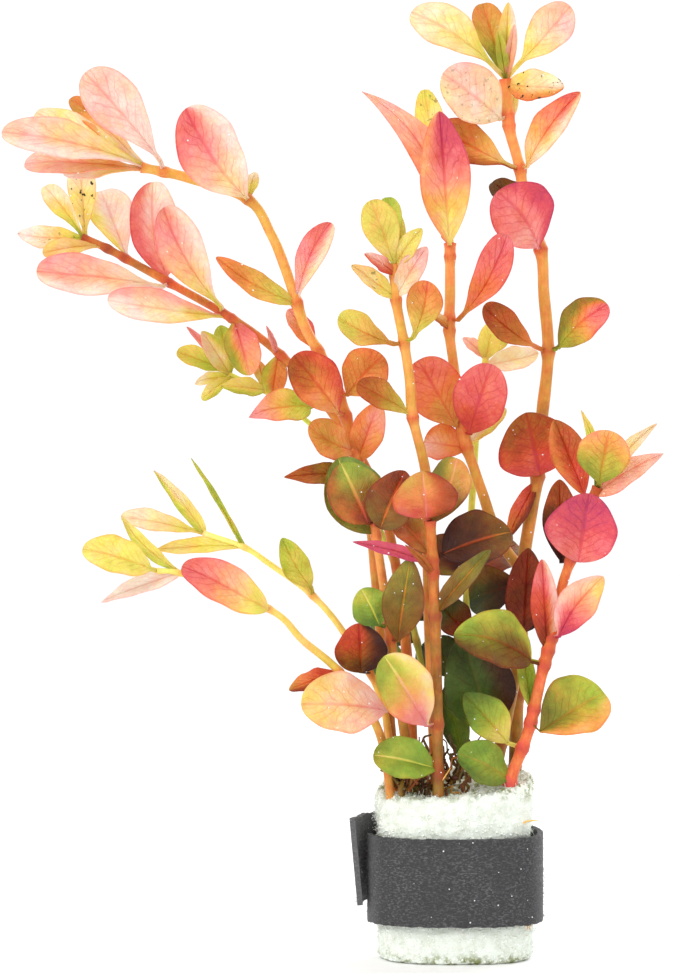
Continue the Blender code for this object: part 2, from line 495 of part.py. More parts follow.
def combine(thing, tools, operation):
    """Join tools to a solid, or cut them from it, all at once. The tools are removed."""
    joined = bmesh.new()
    for tool in tools:
        joined.from_mesh(tool.data)
        bpy.data.objects.remove(tool, do_unlink=True)
    mesh = bpy.data.meshes.new("tools")
    joined.to_mesh(mesh)
    joined.free()
    tool = new_object("tools", mesh, thing.users_collection[0])
    step = thing.modifiers.new("combine", "BOOLEAN")
    step.operation = operation
    step.solver = "EXACT"
    step.use_self = True
    step.object = tool
    thing = made_mesh(thing)
    bpy.data.objects.remove(tool, do_unlink=True)
    return thing


def shoot(name, details, parts):
    """One shoot: the stem with its small leaves fused to it, and each large leaf as its own piece."""
    path, foot_thick, tip_thick, colour, leaves = details
    body = stem(name, path, foot_thick, tip_thick, parts)
    blades = []
    for spec in leaves:
        if not spec["name"]:
            rows = SMALL_ROWS if spec["width"] > NARROW else NARROW_ROWS
            blades.append(made_mesh(leaf_blade(f"{name}_small", spec, path, rows, parts)))
    body = combine(body, blades, "UNION")
    finish(body, colour, STEM_ROUGHNESS)
    for spec in leaves:
        if spec["name"]:
            blade = leaf_blade(spec["name"], spec, path, LARGE_ROWS, parts)
            blade.data.shade_smooth()
            finish(blade, spec["colour"], LEAF_ROUGHNESS)


def oval(angle, half_width, half_depth):
    """A point on the plug's rounded oval outline, counted from the right, in degrees."""
    c = math.cos(math.radians(angle))
    s = math.sin(math.radians(angle))
    x = math.copysign(abs(c) ** (2 / OVAL_POWER), c) * half_width
    y = math.copysign(abs(s) ** (2 / OVAL_POWER), s) * half_depth
    return x, y


def wool_plug(parts):
    """The oval barrel of filter wool, with a hole for each stem."""
    barrel = bmesh.new()
    bmesh.ops.create_cone(
        barrel, cap_ends=True, segments=PLUG_SIDES, radius1=1.0, radius2=1.0, depth=2.0
    )
    upright = [edge for edge in barrel.edges if abs(edge.verts[0].co.z - edge.verts[1].co.z) > 1.0]
    cuts = len(PLUG_RINGS) - 2
    bmesh.ops.subdivide_edges(barrel, edges=upright, cuts=cuts, use_grid_fill=True)
    for corner in barrel.verts:
        ring = round((corner.co.z + 1) / 2 * (len(PLUG_RINGS) - 1))
        height, share = PLUG_RINGS[ring]
        angle = math.degrees(math.atan2(corner.co.y, corner.co.x))
        x, y = oval(angle, PLUG_HALF_WIDTH * share, PLUG_HALF_DEPTH * share)
        top = PLUG_HEIGHT + PLUG_TOP_SLOPE_BACK * y + PLUG_TOP_SLOPE_RIGHT * x
        corner.co = Vector((x, y, height * top)) * MM
    mesh = bpy.data.meshes.new("wool_plug")
    barrel.to_mesh(mesh)
    barrel.free()
    plug = new_object("wool_plug", mesh, parts)
    holes = [
        stem(f"{name}_hole", details[0], details[1], details[2], parts, spare=CLEARANCE + HOLE_EXTRA)
        for name, details in SHOOTS.items()
    ]
    plug = combine(plug, holes, "DIFFERENCE")
    finish(plug, WOOL, WOOL_ROUGHNESS)


def strip_point(share, height):
    """A point on the middle of the strip, by its share of the way round and of its height."""
    off = CLEARANCE + STRIP_THICK / 2
    over = max(0.0, (share - OVERLAP_START) / (1 - OVERLAP_START))
    off += STRIP_OVERLAP_OFF * min(1.0, over) ** OVERLAP_POWER
    half_width = PLUG_HALF_WIDTH + off
    x, y = oval(FACING_LEFT + 360 * min(share, 1.0), half_width, PLUG_HALF_DEPTH + off)
    if share > 1.0:
        reach = (share - 1.0) * STRIP_STEPS / 2
        x -= TAB_SPLAY * height * reach
        y -= TAB_REACH * reach
    climb = max(0.0, min(1.0, (share - CLIMB_START) / (CLIMB_END - CLIMB_START)))
    z = STRIP_FOOT + STRIP_HEIGHT * height + STRIP_CLIMB * climb**2 * (3 - 2 * climb)
    return Vector((x, y, z)) * MM


def weight_strip(parts):
    """The strip: a long grid wound round the plug and given its thickness."""
    band = bmesh.new()
    steps = STRIP_STEPS + 2
    bmesh.ops.create_grid(band, x_segments=steps, y_segments=1, size=1.0)
    for corner in band.verts:
        step = round((corner.co.x + 1) / 2 * steps)
        corner.co = strip_point(step / STRIP_STEPS, (corner.co.y + 1) / 2)
    bmesh.ops.recalc_face_normals(band, faces=band.faces)
    mesh = bpy.data.meshes.new("weight_strip")
    band.to_mesh(mesh)
    band.free()
    strip = new_object("weight_strip", mesh, parts)
    skin = strip.modifiers.new("thickness", "SOLIDIFY")
    skin.thickness = STRIP_THICK * MM
    skin.offset = 0.0
    skin.use_even_offset = True
    finish(strip, STRIP, STRIP_ROUGHNESS)


def main():
    clear_scene()
    parts = new_collection("rotala")
    wool_plug(parts)
    weight_strip(parts)
    for name, details in SHOOTS.items():
        shoot(name, details, parts)


main()
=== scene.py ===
# %% [markdown]
# # A bunch of rotala in a plug of filter wool
#
# Rotala is a stem plant for aquariums. A shop cuts a dozen shoots, pushes them into a plug of filter
# wool and winds a strip of soft weight round it, so that the bunch stands on the tank's floor.
# The lower leaves are green and brown, and the young ones at the top, which got the most light, are
# yellow, pink and red. They are so thin that light shines through them.
#
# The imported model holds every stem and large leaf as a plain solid. It is the frame: each piece made
# here lies where its solid lies, and stands for it.

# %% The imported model
import math
import random

import bmesh
import bpy
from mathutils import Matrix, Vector, noise


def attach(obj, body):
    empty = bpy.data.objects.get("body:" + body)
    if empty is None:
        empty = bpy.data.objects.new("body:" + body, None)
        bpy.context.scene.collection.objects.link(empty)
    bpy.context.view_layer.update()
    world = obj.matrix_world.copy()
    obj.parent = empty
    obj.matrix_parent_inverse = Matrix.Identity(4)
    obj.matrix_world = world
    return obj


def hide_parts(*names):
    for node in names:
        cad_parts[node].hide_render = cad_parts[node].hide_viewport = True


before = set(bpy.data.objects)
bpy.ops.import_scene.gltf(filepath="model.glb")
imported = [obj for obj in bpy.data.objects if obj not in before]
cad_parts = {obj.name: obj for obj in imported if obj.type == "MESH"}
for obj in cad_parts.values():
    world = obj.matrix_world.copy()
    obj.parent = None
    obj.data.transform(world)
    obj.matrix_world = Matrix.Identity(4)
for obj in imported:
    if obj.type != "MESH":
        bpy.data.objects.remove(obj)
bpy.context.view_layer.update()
MM = 0.001

# %% [markdown]
# ## Camera, floor and light
#
# The bunch was photographed from straight in front, at half its height, against white. The camera
# stands 550 mm away, so that the lower edge of the weight strip bends as much as it does there, and
# its lens is worked out from the height of the picture at the bunch.
#
# Light comes from everywhere: a white world, a pale floor, and two large soft lamps. The one in front
# shapes the leaves, and the one behind shines through them.

# %% Camera, floor and light
EYE = Vector((-18.6, -550.0, 75.9))
PICTURE_HEIGHT = 156.65
SENSOR = 36.0

camera_data = bpy.data.cameras.new("camera")
camera_data.sensor_width = SENSOR
camera_data.lens = SENSOR * -EYE.y / PICTURE_HEIGHT
camera = bpy.data.objects.new("camera", camera_data)
camera.location = EYE * MM
camera.rotation_euler = (math.radians(90), 0, 0)
bpy.context.scene.collection.objects.link(camera)
bpy.context.scene.camera = camera
bpy.context.scene.view_settings.view_transform = "Standard"
print(f"lens {camera_data.lens:.1f} mm")


def add_node(tree, kind, inputs=None, **settings):
    """Add a node. Inputs pairs a socket's name or number with a value, or with the socket that feeds it."""
    node = tree.nodes.new(kind)
    for setting, value in settings.items():
        setattr(node, setting, value)
    for key, value in (inputs or {}).items():
        if isinstance(value, bpy.types.NodeSocket):
            tree.links.new(value, node.inputs[key])
        else:
            node.inputs[key].default_value = value
    return node


def soft_lamp(name, place, aim, size, power, colour):
    """A square area lamp, placed and aimed in millimetres."""
    lamp = bpy.data.lights.new(name, "AREA")
    lamp.size = size * MM
    lamp.energy = power
    lamp.color = colour
    thing = bpy.data.objects.new(name, lamp)
    thing.location = Vector(place) * MM
    thing.rotation_euler = (Vector(aim) - Vector(place)).to_track_quat("-Z", "Y").to_euler()
    bpy.context.scene.collection.objects.link(thing)


world = bpy.data.worlds.new("white room")
world.use_nodes = True
world.node_tree.nodes["Background"].inputs["Color"].default_value = (1.0, 1.0, 1.0, 1.0)
world.node_tree.nodes["Background"].inputs["Strength"].default_value = 1.08
bpy.context.scene.world = world

FLOOR_HALF = 3000.0
floor_mesh = bpy.data.meshes.new("floor")
corners = ((-1, -1), (1, -1), (1, 1), (-1, 1))
floor_mesh.from_pydata([(x * FLOOR_HALF * MM, y * FLOOR_HALF * MM, 0) for x, y in corners], [], [(0, 1, 2, 3)])
floor = bpy.data.objects.new("floor", floor_mesh)
bpy.context.scene.collection.objects.link(floor)
floor_finish = bpy.data.materials.new("floor")
floor_finish.use_nodes = True
floor_paint = floor_finish.node_tree.nodes["Principled BSDF"]
floor_paint.inputs["Base Color"].default_value = (0.94, 0.94, 0.94, 1.0)
floor_paint.inputs["Roughness"].default_value = 0.6
floor_mesh.materials.append(floor_finish)

MIDDLE = (-15, 0, 80)
soft_lamp("front lamp", (-380, -520, 520), MIDDLE, 380, 2.4, (1.0, 0.98, 0.95))
soft_lamp("back lamp", (300, 420, 460), MIDDLE, 420, 2.2, (1.0, 1.0, 1.0))
print("two lamps, a white world and a floor", 2 * FLOOR_HALF * MM, "m wide")

# %% [markdown]
# ## The colour of a leaf
#
# Two pigments colour rotala. Green chlorophyll is strongest in old leaves. Red anthocyanin works as a
# filter over it: on pale tissue it looks pink, on yellow tissue orange, and on green tissue brown or
# nearly black. So a leaf isn't given a colour here, but two amounts from 0 to 1, which blend along
# and across it. Mixing pigments in this way gives the in-between shades that real leaves have.
#
# The amounts are kept on the leaf's points. This node group adds blotching, from broad patches down to
# fine grain, turns the green amount into the tissue's colour, and multiplies that by the colour of the
# red filter.

# %% Pigments
TISSUE = (
    (0.0, (0.95, 0.93, 0.84)), (0.15, (0.94, 0.88, 0.55)), (0.3, (0.90, 0.84, 0.22)), (0.45, (0.66, 0.74, 0.10)),
    (0.62, (0.33, 0.52, 0.06)), (0.8, (0.13, 0.27, 0.04)), (1.0, (0.045, 0.10, 0.02)),
)
RED_FILTER = (
    (0.0, (1.0, 1.0, 1.0)), (0.25, (0.99, 0.64, 0.64)), (0.45, (0.95, 0.36, 0.40)), (0.65, (0.82, 0.14, 0.20)),
    (0.85, (0.62, 0.06, 0.20)), (1.0, (0.30, 0.02, 0.06)),
)


def new_group(name, inputs, outputs):
    """A shader node group with number inputs and their defaults, and outputs by name and kind."""
    group = bpy.data.node_groups.new(name, "ShaderNodeTree")
    for socket, value in inputs.items():
        made = group.interface.new_socket(name=socket, in_out="INPUT", socket_type="NodeSocketFloat")
        made.default_value = value
    for socket, kind in outputs.items():
        group.interface.new_socket(name=socket, in_out="OUTPUT", socket_type=kind)
    return group, add_node(group, "NodeGroupInput"), add_node(group, "NodeGroupOutput")


def ramp(tree, amount, stops):
    """A colour that follows an amount through the given stops."""
    node = add_node(tree, "ShaderNodeValToRGB", {"Fac": amount})
    while len(node.color_ramp.elements) < len(stops):
        node.color_ramp.elements.new(1.0)
    for element, (place, colour) in zip(node.color_ramp.elements, stops):
        element.position = place
        element.color = (*colour, 1.0)
    return node.outputs["Color"]


def math_node(tree, operation, *values, clamp=False):
    """The result of one sum on sockets or numbers."""
    return add_node(tree, "ShaderNodeMath", dict(enumerate(values)), operation=operation, use_clamp=clamp).outputs[0]


def blotches(tree, scale, detail, offset=0.0, fineness=0.5):
    """Cloudy noise on the object's own coordinates, from 0 to 1, with features 1 / scale metres wide.

    Detail is how many finer layers it has, and fineness how strong they are.
    """
    place = add_node(tree, "ShaderNodeTexCoord").outputs["Object"]
    if offset:
        place = add_node(tree, "ShaderNodeMapping", {"Vector": place, "Location": (offset, offset, offset)}).outputs[0]
    values = {"Vector": place, "Scale": scale, "Detail": detail, "Roughness": fineness}
    return add_node(tree, "ShaderNodeTexNoise", values).outputs["Fac"]


pigments, given, result = new_group(
    "pigments", {"Green": 0.3, "Red": 0.2, "Blotching": 0.45}, {"Color": "NodeSocketColor"}
)
green_blotch = math_node(pigments, "SUBTRACT", blotches(pigments, 260.0, 5.0, 0.0, 0.62), 0.5)
red_blotch = math_node(pigments, "SUBTRACT", blotches(pigments, 420.0, 6.0, 3.7, 0.68), 0.5)
green = math_node(pigments, "MULTIPLY_ADD", green_blotch, given.outputs["Blotching"], given.outputs["Green"])
red = math_node(pigments, "MULTIPLY_ADD", red_blotch, given.outputs["Blotching"], given.outputs["Red"])
mixed = add_node(
    pigments,
    "ShaderNodeMix",
    {"Factor": 1.0, "A": ramp(pigments, green, TISSUE), "B": ramp(pigments, red, RED_FILTER)},
    data_type="RGBA",
    blend_type="MULTIPLY",
)
pigments.links.new(mixed.outputs["Result"], result.inputs["Color"])
print("pigments:", len(TISSUE), "shades of tissue,", len(RED_FILTER), "of the red filter")

# %% [markdown]
# ## The veins of a leaf
#
# A midrib runs from the leaf's base to its tip, and side veins leave it at a slant and bend forward.
# They follow the leaf and not the object, so they are worked out from two numbers on the leaf's
# points: "along", from 0 at the base to 1 at the tip, and "across", from -1 at one edge to 1 at the
# other. A little noise makes the side veins uneven. Between them lies a fine net of veins, which is
# drawn by the edges of Voronoi cells.

# %% Veins
SIDE_VEINS = 8.0
VEIN_SLANT = 0.34
NET_ALONG, NET_ACROSS = 15.0, 5.0
NET_DRIFT = 150.0


def soft_step(tree, value, low, high, start=0.0, end=1.0):
    """A value mapped from low...high to start...end with soft ends."""
    return add_node(
        tree, "ShaderNodeMapRange",
        {"Value": value, "From Min": low, "From Max": high, "To Min": start, "To Max": end},
        interpolation_type="SMOOTHSTEP",
    ).outputs["Result"]


veins, given, result = new_group(
    "veins", {"Along": 0.5, "Across": 0.0},
    {"Side Veins": "NodeSocketFloat", "Midrib": "NodeSocketFloat", "Net": "NodeSocketFloat"},
)
off_middle = math_node(veins, "ABSOLUTE", given.outputs["Across"])
unevenness = math_node(veins, "MULTIPLY", blotches(veins, 500.0, 3.0), 0.16)
forward = math_node(veins, "MULTIPLY", math_node(veins, "POWER", off_middle, 0.8), VEIN_SLANT)
phase = math_node(veins, "ADD", math_node(veins, "SUBTRACT", given.outputs["Along"], forward), unevenness)
beat = math_node(veins, "PINGPONG", math_node(veins, "MULTIPLY", phase, SIDE_VEINS), 0.5)
line = soft_step(veins, beat, 0.0, 0.1, 1.0, 0.0)
fading = soft_step(veins, off_middle, 0.45, 0.95, 1.0, 0.0)
veins.links.new(math_node(veins, "MULTIPLY", line, fading), result.inputs["Side Veins"])
veins.links.new(soft_step(veins, off_middle, 0.02, 0.1, 1.0, 0.0), result.inputs["Midrib"])
leaf_place = add_node(veins, "ShaderNodeSeparateXYZ", {0: add_node(veins, "ShaderNodeTexCoord").outputs["Object"]})
net_place = add_node(veins, "ShaderNodeCombineXYZ", {
    "X": math_node(veins, "MULTIPLY", given.outputs["Along"], NET_ALONG),
    "Y": math_node(veins, "MULTIPLY", given.outputs["Across"], NET_ACROSS),
    "Z": math_node(veins, "MULTIPLY", leaf_place.outputs["X"], NET_DRIFT),
})
cells = add_node(
    veins, "ShaderNodeTexVoronoi", {"Vector": net_place.outputs[0], "Scale": 1.0}, feature="DISTANCE_TO_EDGE"
)
veins.links.new(soft_step(veins, cells.outputs["Distance"], 0.0, 0.14, 1.0, 0.0), result.inputs["Net"])
print("veins:", SIDE_VEINS, "on each side")

# %% [markdown]
# ## The leaf finish
#
# On pink leaves the veins hold more red than the tissue between them, and on green leaves the midrib
# is paler. A thin line along the margin is redder too. Some leaves carry black specks of algae.
#
# A thin leaf sends about half of its light back and lets the other half through, so the finish mixes
# a Principled shader with a Translucent one of the same colour. Without the second, a leaf with the
# light behind it would be nearly black.

# %% Leaf finish
NET_STRENGTH = 0.4
MARGIN_RED = 0.12


def point_value(tree, name):
    """A number that is kept on the mesh's points."""
    return add_node(tree, "ShaderNodeAttribute", attribute_name=name).outputs["Fac"]


def leaf_finish(name, vein_red, midrib_pale, roughness, through):
    """A leaf's material: pigments, veins, specks, a soft gloss, and light that comes through."""
    finish = bpy.data.materials.new(name)
    finish.use_nodes = True
    tree = finish.node_tree
    surface = tree.nodes["Principled BSDF"]
    along, across = point_value(tree, "along"), point_value(tree, "across")
    vein = add_node(tree, "ShaderNodeGroup", {}, node_tree=veins)
    tree.links.new(along, vein.inputs["Along"])
    tree.links.new(across, vein.inputs["Across"])
    midrib = vein.outputs["Midrib"]
    both = math_node(tree, "MAXIMUM", vein.outputs["Side Veins"], midrib)
    all_veins = math_node(tree, "MAXIMUM", both, math_node(tree, "MULTIPLY", vein.outputs["Net"], NET_STRENGTH))
    margin = soft_step(tree, math_node(tree, "ABSOLUTE", across), 0.9, 1.0, 0.0, MARGIN_RED)
    red = math_node(tree, "MULTIPLY_ADD", all_veins, vein_red, point_value(tree, "red"))
    red = math_node(tree, "ADD", red, margin)
    pale = math_node(tree, "MULTIPLY", midrib, midrib_pale)
    green = math_node(tree, "MULTIPLY", point_value(tree, "green"), math_node(tree, "SUBTRACT", 1.0, pale))
    colour = add_node(tree, "ShaderNodeGroup", {}, node_tree=pigments)
    tree.links.new(green, colour.inputs["Green"])
    tree.links.new(red, colour.inputs["Red"])
    spots = soft_step(tree, blotches(tree, 1300.0, 2.0, 9.1), 0.64, 0.68)
    speckled = add_node(
        tree, "ShaderNodeMix",
        {"Factor": math_node(tree, "MULTIPLY", spots, point_value(tree, "specks")),
         "A": colour.outputs["Color"], "B": (0.05, 0.035, 0.015, 1.0)},
        data_type="RGBA",
    ).outputs["Result"]
    tree.links.new(speckled, surface.inputs["Base Color"])
    surface.inputs["Roughness"].default_value = roughness
    surface.inputs["Specular IOR Level"].default_value = 0.35
    relief = math_node(tree, "MULTIPLY_ADD", all_veins, -0.8, blotches(tree, 900.0, 5.0, 0.0, 0.6))
    bump = add_node(tree, "ShaderNodeBump", {"Height": relief, "Strength": 0.6, "Distance": 0.16 * MM})
    tree.links.new(bump.outputs["Normal"], surface.inputs["Normal"])
    glow = add_node(tree, "ShaderNodeBsdfTranslucent", {"Color": speckled, "Normal": bump.outputs["Normal"]})
    mix = add_node(tree, "ShaderNodeMixShader", {"Fac": through, 1: surface.outputs[0], 2: glow.outputs[0]})
    tree.links.new(mix.outputs[0], tree.nodes["Material Output"].inputs["Surface"])
    return finish


young_leaf = leaf_finish("young leaf", 0.13, 0.1, 0.42, 0.45)
old_leaf = leaf_finish("old leaf", -0.05, 0.4, 0.34, 0.3)
print("leaf finishes:", young_leaf.name, "and", old_leaf.name)

# %% [markdown]
# ## Shades, as amounts of green and red
#
# These are the shades that the leaves of this bunch have. Each is a pair: how much green, and how
# much red. The names are the colours that come out.

# %% Shades
PALE, CREAM, BUTTER, PEACH = (0.0, 0.07), (0.12, 0.05), (0.24, 0.1), (0.13, 0.27)
BLUSH, PINK, ROSE, MAGENTA = (0.04, 0.2), (0.05, 0.34), (0.08, 0.52), (0.0, 0.72)
YELLOW, PALE_LIME, LIME, PALE_GREEN = (0.3, 0.02), (0.38, 0.08), (0.47, 0.04), (0.57, 0.12)
FRESH, GREEN, DARK_GREEN, OLIVE = (0.64, 0.04), (0.78, 0.1), (0.93, 0.2), (0.66, 0.34)
APRICOT, AMBER, TAN, RUST = (0.26, 0.28), (0.33, 0.42), (0.38, 0.36), (0.47, 0.58)
CORAL, RED, BROWN, MAROON, DARK = (0.2, 0.5), (0.25, 0.64), (0.66, 0.56), (0.55, 0.76), (0.85, 0.84)
print("the palest shade is", PALE, "and the darkest", DARK)

# %% [markdown]
# ## Describing a leaf
#
# A leaf is described by a few choices: where it starts and ends, how wide it is, one of seven
# outlines, and its shades. The places are as the camera sees them, with a depth that is counted from
# the stem. Everything is in millimetres.
#
# The outline is a sine wave that has been stretched along the leaf, so that its widest place can lie
# before or past the middle, and raised to a power, so that its ends can be blunt or pointed.

# %% Describing a leaf
ROUND, BROAD, OBLONG, PADDLE = (0.47, 0.62, 0.5), (0.57, 0.7, 0.42), (0.52, 0.55, 0.42), (0.67, 0.85, 0.42)
OVAL, LANCE, WEDGE = (0.5, 0.85, 0.62), (0.48, 0.9, 0.95), (0.37, 0.6, 0.9)


def leaf(
    base, tip, width, outline, low, high, node=None,
    left=None, right=None, bow=0.8, cup=14.0, sway=0.0, wave=0.3, bend=0.0, specks=0.0,
):
    """One leaf. Low and high are its shades at base and tip, left and right those of its edges.

    Left and right are as seen when looking along the leaf. Bow arches its middle forward, cup lifts
    its edges, sway bends it sideways, wave ripples its edges and bend curls its tip back.
    A leaf with a node stands for that solid. The others belong to the stem's piece.
    """
    return {
        "base": base, "tip": tip, "width": width, "outline": outline, "low": low, "high": high, "node": node,
        "left": left, "right": right, "bow": bow, "cup": cup, "sway": sway, "wave": wave, "bend": bend,
        "specks": specks,
    }


def leaf_share(t, outline):
    """The half width at t along a leaf, as a share of its largest half width."""
    widest, base_power, tip_power = outline
    phase = math.pi * t ** (math.log(0.5) / math.log(widest))
    return max(0.0, math.sin(phase)) ** (base_power + (tip_power - base_power) * t)


for name, outline in {"round": ROUND, "paddle": PADDLE, "oval": OVAL, "wedge": WEDGE}.items():
    print(name, [round(leaf_share(t / 5, outline), 2) for t in range(6)])

# %% [markdown]
# ## Paths in space
#
# A shoot is drawn as a list of places: how far right, how deep and how high, as seen on the plane
# through the plug's middle. "Seen" turns such a place into a point, by sliding it along the line of
# sight to its depth. A smooth curve is then laid through the points.

# %% Paths in space
STEM_FOOT = 15.0


def seen(x, y, z):
    """The point at depth y that is seen in front of (x, z) on the plane through the origin, in metres."""
    reach = 1.0 + y / -EYE.y
    return Vector((EYE.x + (x - EYE.x) * reach, y, EYE.z + (z - EYE.z) * reach)) * MM


def smooth_path(points, step):
    """Points about a step apart on a smooth curve through the given points."""
    ends = [points[0] * 2 - points[1], *points, points[-1] * 2 - points[-2]]
    path = []
    for index in range(1, len(ends) - 2):
        before, start, end, after = ends[index - 1 : index + 3]
        count = max(1, round((end - start).length / step))
        for number in range(count):
            t = number / count
            bend = (end - before) * t + (before * 2 - start * 5 + end * 4 - after) * t**2
            path.append(start + (bend + (start * 3 - before - end * 3 + after) * t**3) * 0.5)
    path.append(points[-1].copy())
    return path


def beside_stem(spec, path):
    """The place on the stem where a leaf grows, and the leaf's own base and tip."""
    places = smooth_path([Vector(place) for place in path], 2.0)
    x, depth, z = spec["base"]
    origin = min(places, key=lambda place: (place.x - x) ** 2 + (place.z - z) ** 2)
    tip_x, tip_depth, tip_z = spec["tip"]
    return seen(*origin), seen(x, origin.y + depth, z), seen(tip_x, origin.y + tip_depth, tip_z)


print("a place 10 mm deep at the right edge is drawn at", *[round(v / MM, 1) for v in seen(30, 10, 80)])

# %% [markdown]
# ## Building a leaf
#
# A flat grid is laid over the leaf's form, with its rows closer together at the two ends, where the
# outline turns. The form is the plain one of the solid, plus what makes a leaf look alive: a groove
# along the midrib, rippled edges, and a slow unevenness that noise gives, different for each leaf.
# A short stalk joins the base to the stem.
#
# Each point also gets the numbers that the leaf finish reads. Solidify then makes the sheet as thick
# as a leaf, and the rim is marked sharp, so that the two faces are shaded smoothly up to it.

# %% Building a leaf
LEAF_THICK = 0.22
TILT_UP = 26.0
STALK_HALF = 0.4
GROOVE = 0.2
UNEVEN = 0.6
LEAF_VALUES = ("along", "across", "green", "red", "specks")


def blend(first, second, share):
    """A value, or each value of a shade, between two."""
    return tuple(a + (b - a) * share for a, b in zip(first, second))


def soft(value):
    """A number held between 0 and 1, with soft ends."""
    value = min(1.0, max(0.0, value))
    return value * value * (3 - 2 * value)


def leaf_shade(spec, t, side):
    """The shade at t along the leaf and at side, -1 to 1, across it."""
    shade = blend(spec["low"], spec["high"], soft(t * 1.15 - 0.08))
    if spec["left"]:
        shade = blend(shade, spec["left"], 0.9 * soft(-side * 1.3 - 0.1))
    if spec["right"]:
        shade = blend(shade, spec["right"], 0.9 * soft(side * 1.3 - 0.1))
    return shade


def leaf_point(spec, base, tip, t, side):
    """The point of a leaf at t along its length and at side, -1 to 1, across it."""
    along = (tip - base).normalized()
    to_eye = (EYE * MM - (base + tip) / 2).normalized()
    face = (to_eye - along * to_eye.dot(along)).normalized()
    right = along.cross(face)
    roll = math.radians(TILT_UP) * right.z
    normal = face * math.cos(roll) + right * math.sin(roll)
    across = right * math.cos(roll) - face * math.sin(roll)
    seed = Vector(spec["tip"]) * 0.37
    half = spec["width"] / 2 / math.cos(roll) * leaf_share(t, spec["outline"])
    half *= 1 + 0.1 * noise.noise(seed + Vector((t * 3, side, 0)))
    if t < 0.5:
        half = max(half, STALK_HALF)
    arch = 4 * t * (1 - t)
    cup = math.radians(spec["cup"])
    ripple = math.sin(t * 17 + seed.x * 5 + side) * spec["wave"] * side**2 * arch
    uneven = UNEVEN * arch * noise.noise(seed + Vector((t * 2, side * 0.8, 5)))
    groove = GROOVE * max(0.0, 1 - abs(side) / 0.12) * arch
    lift = spec["bow"] * arch + half * math.sin(cup) * abs(side) + ripple + uneven - groove
    lift -= spec["bend"] * max(0.0, t - 0.6) ** 2 / 0.16
    shift = spec["sway"] * arch + half * math.cos(cup) * side
    return base.lerp(tip, t) + (normal * lift + across * shift) * MM


def add_leaf(sheet, spec, path, rows, columns):
    """Lay one leaf's grid into a sheet of leaves."""
    root, base, tip = beside_stem(spec, path)
    stalk = 2 if (base - root).length > 0.6 * MM else 0
    made = bmesh.ops.create_grid(sheet, x_segments=columns, y_segments=rows + stalk, size=1.0)["verts"]
    layer = {value: sheet.verts.layers.float[value] for value in LEAF_VALUES}
    for corner in made:
        row = round((corner.co.y + 1) / 2 * (rows + stalk)) - stalk
        place = corner.co.x
        side = math.copysign(abs(place) ** 1.25, place)
        t = max(0.0, (1 - math.cos(math.pi * max(0, row) / rows)) / 2)
        point = leaf_point(spec, base, tip, t, side)
        if row < 0:
            point += (root - base) * (-row / stalk)
        corner.co = point
        green, red = leaf_shade(spec, t, side)
        for value, number in zip(LEAF_VALUES, (t, side, green, red, spec["specks"])):
            corner[layer[value]] = number
    bmesh.ops.remove_doubles(sheet, verts=made, dist=0.004 * MM)


def plain_mesh(thing):
    """Replace an object by a plain mesh of its evaluated shape, and remove its modifiers with it."""
    bpy.context.view_layer.update()
    mesh = bpy.data.meshes.new_from_object(thing.evaluated_get(bpy.context.evaluated_depsgraph_get()))
    name = thing.name
    bpy.data.objects.remove(thing, do_unlink=True)
    mesh.name = name
    return new_object(name, mesh)


def new_object(name, data):
    thing = bpy.data.objects.new(name, data)
    bpy.context.scene.collection.objects.link(thing)
    return thing


def leaf_sheet(name, leaves, path, rows, columns, finish):
    """A piece of one or more leaves, given their thickness."""
    sheet = bmesh.new()
    for value in LEAF_VALUES:
        sheet.verts.layers.float.new(value)
    for spec in leaves:
        add_leaf(sheet, spec, path, rows, columns)
    for face in sheet.faces:
        face.smooth = True
    mesh = bpy.data.meshes.new(name)
    sheet.to_mesh(mesh)
    sheet.free()
    mesh.materials.append(finish)
    thing = new_object(name, mesh)
    skin = thing.modifiers.new("thickness", "SOLIDIFY")
    skin.thickness = LEAF_THICK * MM
    skin.offset = 0.0
    thing = plain_mesh(thing)
    thing.data.set_sharp_from_angle(angle=math.radians(60))
    return thing


print("a leaf is", LEAF_THICK, "mm thick")

# %% [markdown]
# ## Stems
#
# A stem is a tube along its path. It swells at each node, the ring where a pair of leaves grows, and
# is darker there. The path's points carry the tube's radius and the pigments, and a short tree of
# Geometry Nodes sweeps a circle along them. That suits anything that follows a path, because the
# sweep keeps every number that the points carry.

# %% Stems
STEM_STEP = 0.7
KNOT_SWELL = 0.3
KNOT_REACH = 0.8
STEM_SIDES = 12


def new_tree(name, sockets):
    """An empty tree of geometry nodes with the given inputs, by name: kind and default."""
    tree = bpy.data.node_groups.new(name, "GeometryNodeTree")
    tree.interface.new_socket(name="Geometry", in_out="OUTPUT", socket_type="NodeSocketGeometry")
    tree.interface.new_socket(name="Geometry", in_out="INPUT", socket_type="NodeSocketGeometry")
    for socket, (kind, value) in sockets.items():
        made = tree.interface.new_socket(name=socket, in_out="INPUT", socket_type=kind)
        if value is not None:
            made.default_value = value
    return tree, add_node(tree, "NodeGroupInput"), add_node(tree, "NodeGroupOutput")


def finish_tree(tree, geometry, given, result):
    """End a tree: real geometry instead of instances, smooth, with its material."""
    real = add_node(tree, "GeometryNodeRealizeInstances", {"Geometry": geometry}).outputs[0]
    smooth = add_node(tree, "GeometryNodeSetShadeSmooth", {"Geometry": real}).outputs[0]
    dressed = add_node(tree, "GeometryNodeSetMaterial", {"Geometry": smooth, "Material": given.outputs["Material"]})
    tree.links.new(dressed.outputs[0], result.inputs["Geometry"])


